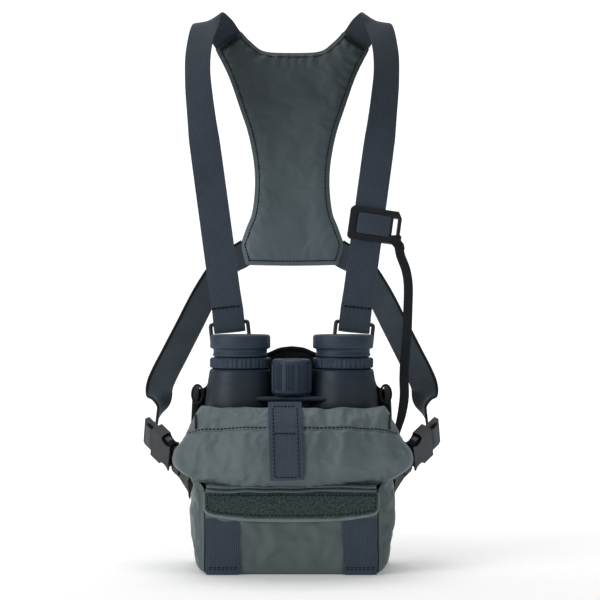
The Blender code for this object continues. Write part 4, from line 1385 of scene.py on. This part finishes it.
def make_hinge_fold():
    """The folded cloth between the lid and the strip: two soft rolls with a slit between them."""
    section = [(-36.2, 60.6), (-38.6, 60.2), (-41.4, 60.3), (-43.0, 61.0), (-42.4, 61.9), (-39.8, 62.4),
               (-36.8, 62.6), (-40.6, 63.0), (-42.8, 63.8), (-41.8, 64.9), (-38.8, 65.5), (-35.4, 65.0)]

    def shape(u, v):
        x = (u * 2 - 1) * 61.0
        point = along_path([Vector((0, y, z)) for y, z in section], v)
        slit = bell(v, 0.54, 0.09)
        open_here = 1 / (1 + math.exp(-(x + 42) / 5)) / (1 + math.exp((x - 54) / 5))
        y = point.y - slit * (1 - open_here) * 2.6
        y += 1.3 * wobble(x, v * 30, 0, 0.07, 1.0) - 1.2
        z = point.z + 0.8 * wobble(x, v * 22, 5, 0.06, 4.0) + 0.3 * math.sin(x * 0.05)
        ends = max(0.0, (abs(x) - 50) / 11) ** 2
        return Vector((x, y + (1 - abs(v * 2 - 1)) * 4.0 * ends, z))

    cloth_sheet("hinge_fold", shape, 90, 44, "lid", "pack", "coated_fabric", 0.8, replaces=["hinge_strip"])


# Lid

LID_LINE = [
    (-38.2, 62.8, 64.0), (-43.4, 65.4, 68.5), (-50.5, 70.0, 77.0), (-57.0, 78.6, 89.0),
    (-58.8, 90.0, 89.0), (-55.8, 103.0, 82.5), (-49.4, 113.0, 76.0), (-41.7, 119.8, 69.5),
    (-39.0, 119.6, 68.0), (-38.4, 116.5, 67.0),
]
LID_CURVE = 0.0032             # how fast the lid bends back towards its ends
LID_SEAM_Z = 106.5             # height of the seam that joins the lid's band
TAB_FOOT_Z = 73.0
LID_END = 0.10                 # share of the half width that turns in at each end
LID_END_TURN = math.radians(115)
DART_X = 69.6
TAB_SEAM = 8.6                 # distance of the tab's stitched rows from its middle
TAB_WIDTH = 24.0
TAB_THICK = 1.5
TAB_TOP_X = -4.6
TAB_BASE_X = -2.7


LID_LINE_SMOOTH = smooth_path(LID_LINE, 6)


def lid_section(v):
    return along_path(LID_LINE_SMOOTH, v)


def half_at(v):
    return lid_section(v).z


def lid_share(height):
    """The first share of the way up the lid that reaches a height."""
    return next(k / 500 for k in range(501) if lid_section(k / 500).y >= height)


LID_SEAM = lid_share(LID_SEAM_Z)


def lid_point(u, v, out=0.0):
    """u from -1 to 1 across the lid, v from 0 at the hinge to 1 at its hem, out along its normal."""
    y, z, half = lid_section(v)
    low, high = lid_section(max(v - 0.01, 0.0)), lid_section(min(v + 0.01, 1.0))
    tangent = Vector((high.x - low.x, high.y - low.y)).normalized()
    normal = Vector((-tangent.y, tangent.x))
    turned = max(0.0, (abs(u) - (1 - LID_END)) / LID_END)
    angle = LID_END_TURN * turned
    radius = half * LID_END / LID_END_TURN * 1.35
    flat = half * (1 - LID_END) if turned else half * abs(u)
    x = math.copysign(flat + radius * math.sin(angle), u)
    y += radius * (1 - math.cos(angle)) + LID_CURVE * x * x
    z -= 6.5 * (x / 80) ** 4 * bell(v, LID_SEAM, 0.16)
    pinch = -1.1 * bell(v, LID_SEAM, 0.018)
    puff = 0.9 * math.sin(math.pi * min(v / LID_SEAM, 1.0)) if v < LID_SEAM else 0.5
    beside_seam = math.exp(-abs(v - LID_SEAM) / 0.05)
    seam_gather = 0.35 * math.sin(x * 0.55 + 2.0 * math.sin(x * 0.11)) * beside_seam
    out += pinch + puff + seam_gather + lid_folds(x, v)
    return Vector((x + 1.0, y + normal.x * out, z + normal.y * out))


def lid_folds(x, v):
    """Soft folds running down from the seam, and one long dart near each end of the band."""
    total = 0.0
    for top, foot, wide, deep in (
        (-34.0, -40.0, 7.0, 1.3), (-52.0, -60.0, 5.0, -0.9), (-66.0, -78.0, 6.0, 1.0),
        (24.0, 20.0, 5.0, -1.2), (36.0, 34.0, 6.0, 1.4), (52.0, 58.0, 7.0, -0.9),
        (64.0, 76.0, 6.0, 1.1),
    ):
        share = min(max(1 - v / LID_SEAM, 0.0), 1.0)
        middle = top + (foot - top) * share
        fade = bell(share, 0.3, 0.35)
        total += 1.6 * deep * fade * bell(x, middle, wide)
    if v > LID_SEAM:
        total -= 0.9 * bell(abs(x), 72.5, 1.3)
    return total + 1.0 * wobble(x, v * 60, 0, 0.04, 7.0) + 0.4 * wobble(x, v * 60, 0, 0.14, 2.0)


def make_lid():
    def shape(u, v):
        return lid_point(u * 2 - 1, v)

    def held(u, v):
        x = (u * 2 - 1) * 85
        if v < 0.05 or v > 0.93 or abs(v - LID_SEAM) < 0.014 or abs(x - TAB_TOP_X) < 13.5:
            return 1.0
        return 0.0 if min(u, 1 - u) > 0.03 else 0.6

    cloth_sheet("lid_cover", shape, 104, 60, "lid", "lid", "coated_fabric", 1.1, lining="pouch",
                replaces=["lid_panel", "lid_skirt"], hold=held, grow=0.035, pressure=0.5, cap=2.4)

    def inner(u, v):
        return lid_point((u * 2 - 1) * 0.84, 0.2 + v * 0.4, -4.2 - 0.8 * math.sin(math.pi * v))

    cloth_sheet("lid_inner", inner, 50, 20, "mesh", "lid", "foam", 1.4, lining="mesh",
                replaces=["lid_lining"])

    seam = Stitches()
    line = [lid_point(-0.955 + 1.91 * k / 160, LID_SEAM + 0.013, 0.2) for k in range(161)]
    parts = (
        [p for p in line if p.x < TAB_TOP_X - 12.5],
        [p for p in line if p.x > TAB_TOP_X + 12.5],
    )
    for path in parts:
        seam.row(path, Vector((0, -1, 0.25)), radius=0.5, length=2.2, gap=0.7)
    seam.make("lid_stitches", "lid")
    heights = steps_between(LID_SEAM + 0.02, 0.84, 12)
    for name, side in SIDES.items():
        # painted shade: a near-black thread tube along each dart stands in for the shade in the dart's
        # slit
        dart = [lid_point(side * DART_X / half_at(v), v, 1.3) for v in heights]
        add_tube("lid_dart_shade_line." + name, dart, 0.8, "thread", "lid", "binding", sides=8)

    make_tab()


def make_tab():
    foot = lid_share(TAB_FOOT_Z)
    path = []
    sides = []
    for k in range(46):
        v = foot + (0.905 - foot) * k / 45
        x = TAB_BASE_X + (TAB_TOP_X - TAB_BASE_X) * k / 45
        section = lid_point(x / half_at(v), v, 2.1)
        path.append(Vector((x, section.y, section.z)))
        sides.append(SIDEWAYS)
    last = path[-1]
    path += [last + Vector((0, 1.2, 2.2)), last + Vector((0, 2.0, 4.0))]
    sides += [SIDEWAYS] * 2
    path = smoothed(path, 3)
    add_strap("lid_tab.webbing", path, sides, TAB_WIDTH, TAB_THICK, "webbing", "lid", replaces=["lid_tab"])
    frames = path_frames(path, sides)
    face = [p - f[2] * 0.85 for p, f in zip(path, frames)]
    normals = [-f[2] for f in frames]
    seam = Stitches()
    for a in (-TAB_SEAM, TAB_SEAM):
        line = [p + Vector((a, 0, 0)) for p in face[3:-2]]
        seam.row(line, normals[3:-2], radius=0.46)
    for i, size in ((3, 0.46), (27, 0.6), (-3, 0.46)):
        ends = [face[i] + Vector((a, 0, 0)) for a in (-TAB_SEAM, TAB_SEAM)]
        seam.row(ends, normals[i], radius=size, gap=0.5)
    seam.make("lid_tab_stitches", "lid")


# Binoculars

AXIS_X = 38.0
AXIS_Y = -1.5
BARREL_TOP = 156.0
NECK_R = 13.6
NECK_TOP = 164.5
EYECUP_R = 22.3
EYECUP_TOP = 172.5
KNOB_Y = -12.0
KNOB_R = 14.8
LUG_X = AXIS_X + 0.8 + 26.0 + 0.3 + 4.6
LUG_Z = 128.4


# The barrel above its armour: radius, height and the share of its lean
SHOULDER = [
    (25.0, 125.0, 0.9), (24.4, 131.0, 0.75), (23.9, 135.5, 0.55), (23.6, 137.4, 0.5),
    (23.4, 139.0, 0.4), (23.2, 140.6, 0.35), (22.9, 143.0, 0.3), (22.6, 145.4, 0.2),
    (22.0, 146.9, 0.1), (20.6, 147.5, 0.0),
]
EYEPIECE_SEAT = [
    (18.6, 147.7), (19.4, BARREL_TOP), (18.6, BARREL_TOP), (NECK_R, BARREL_TOP),
    (NECK_R, NECK_TOP - 0.6), (NECK_R - 0.5, NECK_TOP), (12.4, NECK_TOP), (11.9, NECK_TOP - 0.5),
    (11.9, NECK_TOP - 4.4),
]


def groups(angle, offsets, repeat, width):
    """1 on narrow ribs that stand in groups round a ring, in degrees."""
    turn = math.degrees(angle) % repeat
    return max(math.exp(-((turn - offset) / width) ** 4) for offset in offsets)


# Radius and height, from the bottom up
COLLAR = [
    (19.0, 148.0), (21.6, 148.0), (22.2, 148.5), (22.3, 149.1), (22.3, 154.2), (22.2, 154.8),
    (21.6, 155.4), (19.0, 155.4),
]
CUP_BASE = BARREL_TOP + 0.4
CUP_BORE = NECK_R + 0.4
EYECUP = [
    (CUP_BORE, CUP_BASE), (19.4, CUP_BASE), (20.1, CUP_BASE + 0.3), (20.3, 157.6), (20.3, 158.2),
    (19.8, 158.8), (19.8, 161.2), (20.2, 161.9), (21.4, 162.3), (22.1, 162.7), (EYECUP_R, 163.4),
    (EYECUP_R, 167.0), (EYECUP_R, 170.6), (21.95, 171.6), (21.2, 172.2), (20.2, EYECUP_TOP),
    (18.4, EYECUP_TOP - 0.1), (16.9, EYECUP_TOP - 0.7), (15.4, 170.0), (CUP_BORE, 167.6),
]
KNOB_TOP = [(8.0, 154.1), (8.3, 154.6), (11.6, 154.8), (12.9, 154.6), (13.9, 153.8)]
KNOB_FOOT = [(14.1, 129.4), (13.2, 128.7)]


def barrel_profile(lean):
    """The barrel from its objective's rim to the seat of its eyepiece."""
    profile = [(20.0, BINO_BASE + 7.5), (20.0, BINO_BASE + 0.9), (20.9, BINO_BASE + 0.1),
               (24.2, BINO_BASE), (25.1, BINO_BASE + 0.7), (25.4, BINO_BASE + 2.4),
               (25.4, 28.6), (25.1, 30.0), (24.5, 31.4), (24.4, 34.0)]
    for k in range(1, 15):
        z = 34.0 + 86.0 * k / 15
        profile.append((24.4 + 1.6 * math.sin(math.radians(90 * min((z - 34) / 64, 1))), z))
    profile += [(25.5, 116.6), (25.4, 117.4), (25.4, 118.0), (25.4, 118.6), (25.3, 120.0)]
    profile = [(r, z, lean) for r, z in profile]
    return profile + [(r, z, lean * share) for r, z, share in SHOULDER] + EYEPIECE_SEAT


def make_barrel(name, side):
    centre = (side * AXIS_X, AXIS_Y)

    def body_marks(angle, r, z):
        """Shallow grip channels on the armour and a parting step under the eyepiece."""
        if r <= 22.5:
            return 0.0
        front = math.cos(angle + math.radians(90 - side * 22))
        pad = 0.55 * bell(z, 139.0, 1.1) * max(0.0, front) ** 2
        step = -0.5 * bell(z, 118.0, 0.9)
        channel = -0.6 * groups(angle, (6.0, 13.0, 20.0, 27.0), 90.0, 2.0) if 34.0 < z < 96.0 else 0.0
        return pad + step + channel

    def collar_ribs(angle, r, z):
        if r < 22.0 or not 148.9 < z < 154.6:
            return 0.0
        return 0.95 * groups(angle, (3.0, 10.0, 19.0, 30.0, 37.0), 45.0, 2.3) - 0.75

    add_turned("barrel_body." + name, barrel_profile(side * 0.8), centre, 160, "armour", "binoculars",
               "armour", replaces=["barrel_" + name], ribs=body_marks)
    ring_body, ring_nodes = ("binoculars", []) if side < 0 else ("diopter_ring", ["diopter_ring"])
    add_turned("collar_ring." + name, COLLAR, centre, 240, "grip", ring_body, "rubber",
               replaces=ring_nodes, ribs=collar_ribs)
    add_turned("eyecup_rubber." + name, EYECUP, centre, 128, "grip", "eyecup_" + name, "rubber",
               replaces=["eyecup_" + name])


def make_lug_loop(name, side):
    """The neck strap's short webbing loop on the barrel's lug."""
    count = 28
    path = []
    for k in range(count):
        angle = 2 * math.pi * k / count
        path.append(Vector((LUG_X + 4.0 * math.cos(angle), -1.5, LUG_Z + 6.8 * math.sin(angle))))
    loop = []
    for i, point in enumerate(path):
        ahead = (path[(i + 1) % count] - path[i - 1]).normalized()
        out = ahead.cross(BACKWARDS)
        ring = []
        for k in range(10):
            angle = 2 * math.pi * k / 10
            ring.append(point + Vector((0, 2.3 * math.cos(angle), 0)) + out * (0.8 * math.sin(angle)))
        loop.append(ring)
    points, faces = loft(loop, closed=True)
    piece("lug_loop." + name, mirror(points, side), faces, "binding", "binoculars",
          replaces=["lug_loop_" + name])


def make_focus_wheel():
    def knob_ribs(angle, r, z):
        if r < 14.3 or not 131.0 < z < 151.8:
            return 0.0
        return -0.75 * groups(angle, (5.0, 11.5, 18.0, 24.5), 36.0, 1.9)

    knob = KNOB_TOP + [(KNOB_R, z) for z in steps_between(152.4, 130.4, 16)] + KNOB_FOOT
    add_turned("focus_wheel", knob, (0.0, KNOB_Y), 240, "grip", "focus_knob", "rubber",
               replaces=["focus_knob"], ribs=knob_ribs, hollow=False)


def make_binoculars():
    for name, side in SIDES.items():
        make_barrel(name, side)
        make_lug_loop(name, side)
        for node in ("eyepiece_lens_", "objective_lens_"):
            soften(node + name, 0.5, 2, "glass")
    make_bridge()
    make_focus_wheel()


def make_bridge():
    """The hinge bridge: a block between the barrels with a curved plate along its front."""
    rings = []
    for k in range(41):
        x = -29.0 + 58.0 * k / 40
        gap = max(0.0, abs(x) - 12.0)
        front = -23.4 + 0.0012 * x * x - 0.9 * bell(gap, 0.0, 9)
        thick = 9.5 - 0.09 * abs(x)
        ring = []
        for a, b in ((0.0, 0.0), (-0.9, -0.5), (-1.2, -1.6), (-0.9, -2.9), (0.0, -3.6)):
            ring.append((x, front + a + 1.2, 127.6 + b))
        ring += [(x, front + thick + 8.0, 124.0), (x, front + thick + 8.0, 127.4)]
        rings.append(ring)
    points, faces = loft(rings)
    piece("bridge_plate", points, faces, "armour", "binoculars")
    soften("bridge", 0.8, 2, "armour")


# Tether's knot on the keeper and its tab on the pouch

def make_tether_ends():
    wrap = []
    for k in range(33):
        angle = 2 * math.pi * k / 20
        reach = 22.6 + 3.6 * math.cos(angle)
        wrap.append(keeper_point(reach, -8.2 - 0.05 * k, 0.1 + 4.7 * math.sin(angle)))
    up = keeper_point(0, 1, 0) - keeper_point(0, 0, 0)
    add_strap("tether_wrap", wrap, up, 5.4, 1.1, "binding", "keeper", edge=0.5)
    drop = smooth_path([keeper_point(21.6, -6.0, 3.0), keeper_point(22.4, -10.5, 4.6),
                        TETHER_TOP, (82.4, 38.8, 236.0)], 6)
    add_strap("tether_fold", drop, (1, -0.15, 0), 7.6, 1.5, "binding", "keeper", edge=0.5)
    bar = []
    for k in range(25):
        share = k / 24
        crown = max(math.sin(math.pi * share), 0.0)
        bar.append(keeper_point(-8.6 + 26.4 * share, 0, 1.9 + 2.4 * crown ** 0.5))
    points, faces, uv = strap_shape(bar, up, 15.6, 1.3, edge=0.4)
    ribs_up = [(along, across) for across, along in uv]
    piece("keeper_webbing", points, faces, "webbing", "keeper", ribs_up)
    tab = smooth_path([(73.7, -1.0, 82.0), (74.0, -3.5, 88.0), (75.2, -6.4, 92.6),
                       (76.8, -8.6, 97.4)], 6)
    add_strap("tether_tab", tab, (0.5, -0.85, 0.2), 7.4, 1.3, "binding", edge=0.5)


make_stage()
make_tether()
make_tether_ends()
make_shoulder_straps()
make_yoke()
make_side_straps()
make_hardware()
make_pouch_walls()
make_pouch_floor()
make_pouch_back()
make_back_pad()
make_front_trim()
make_lid()
make_binoculars()
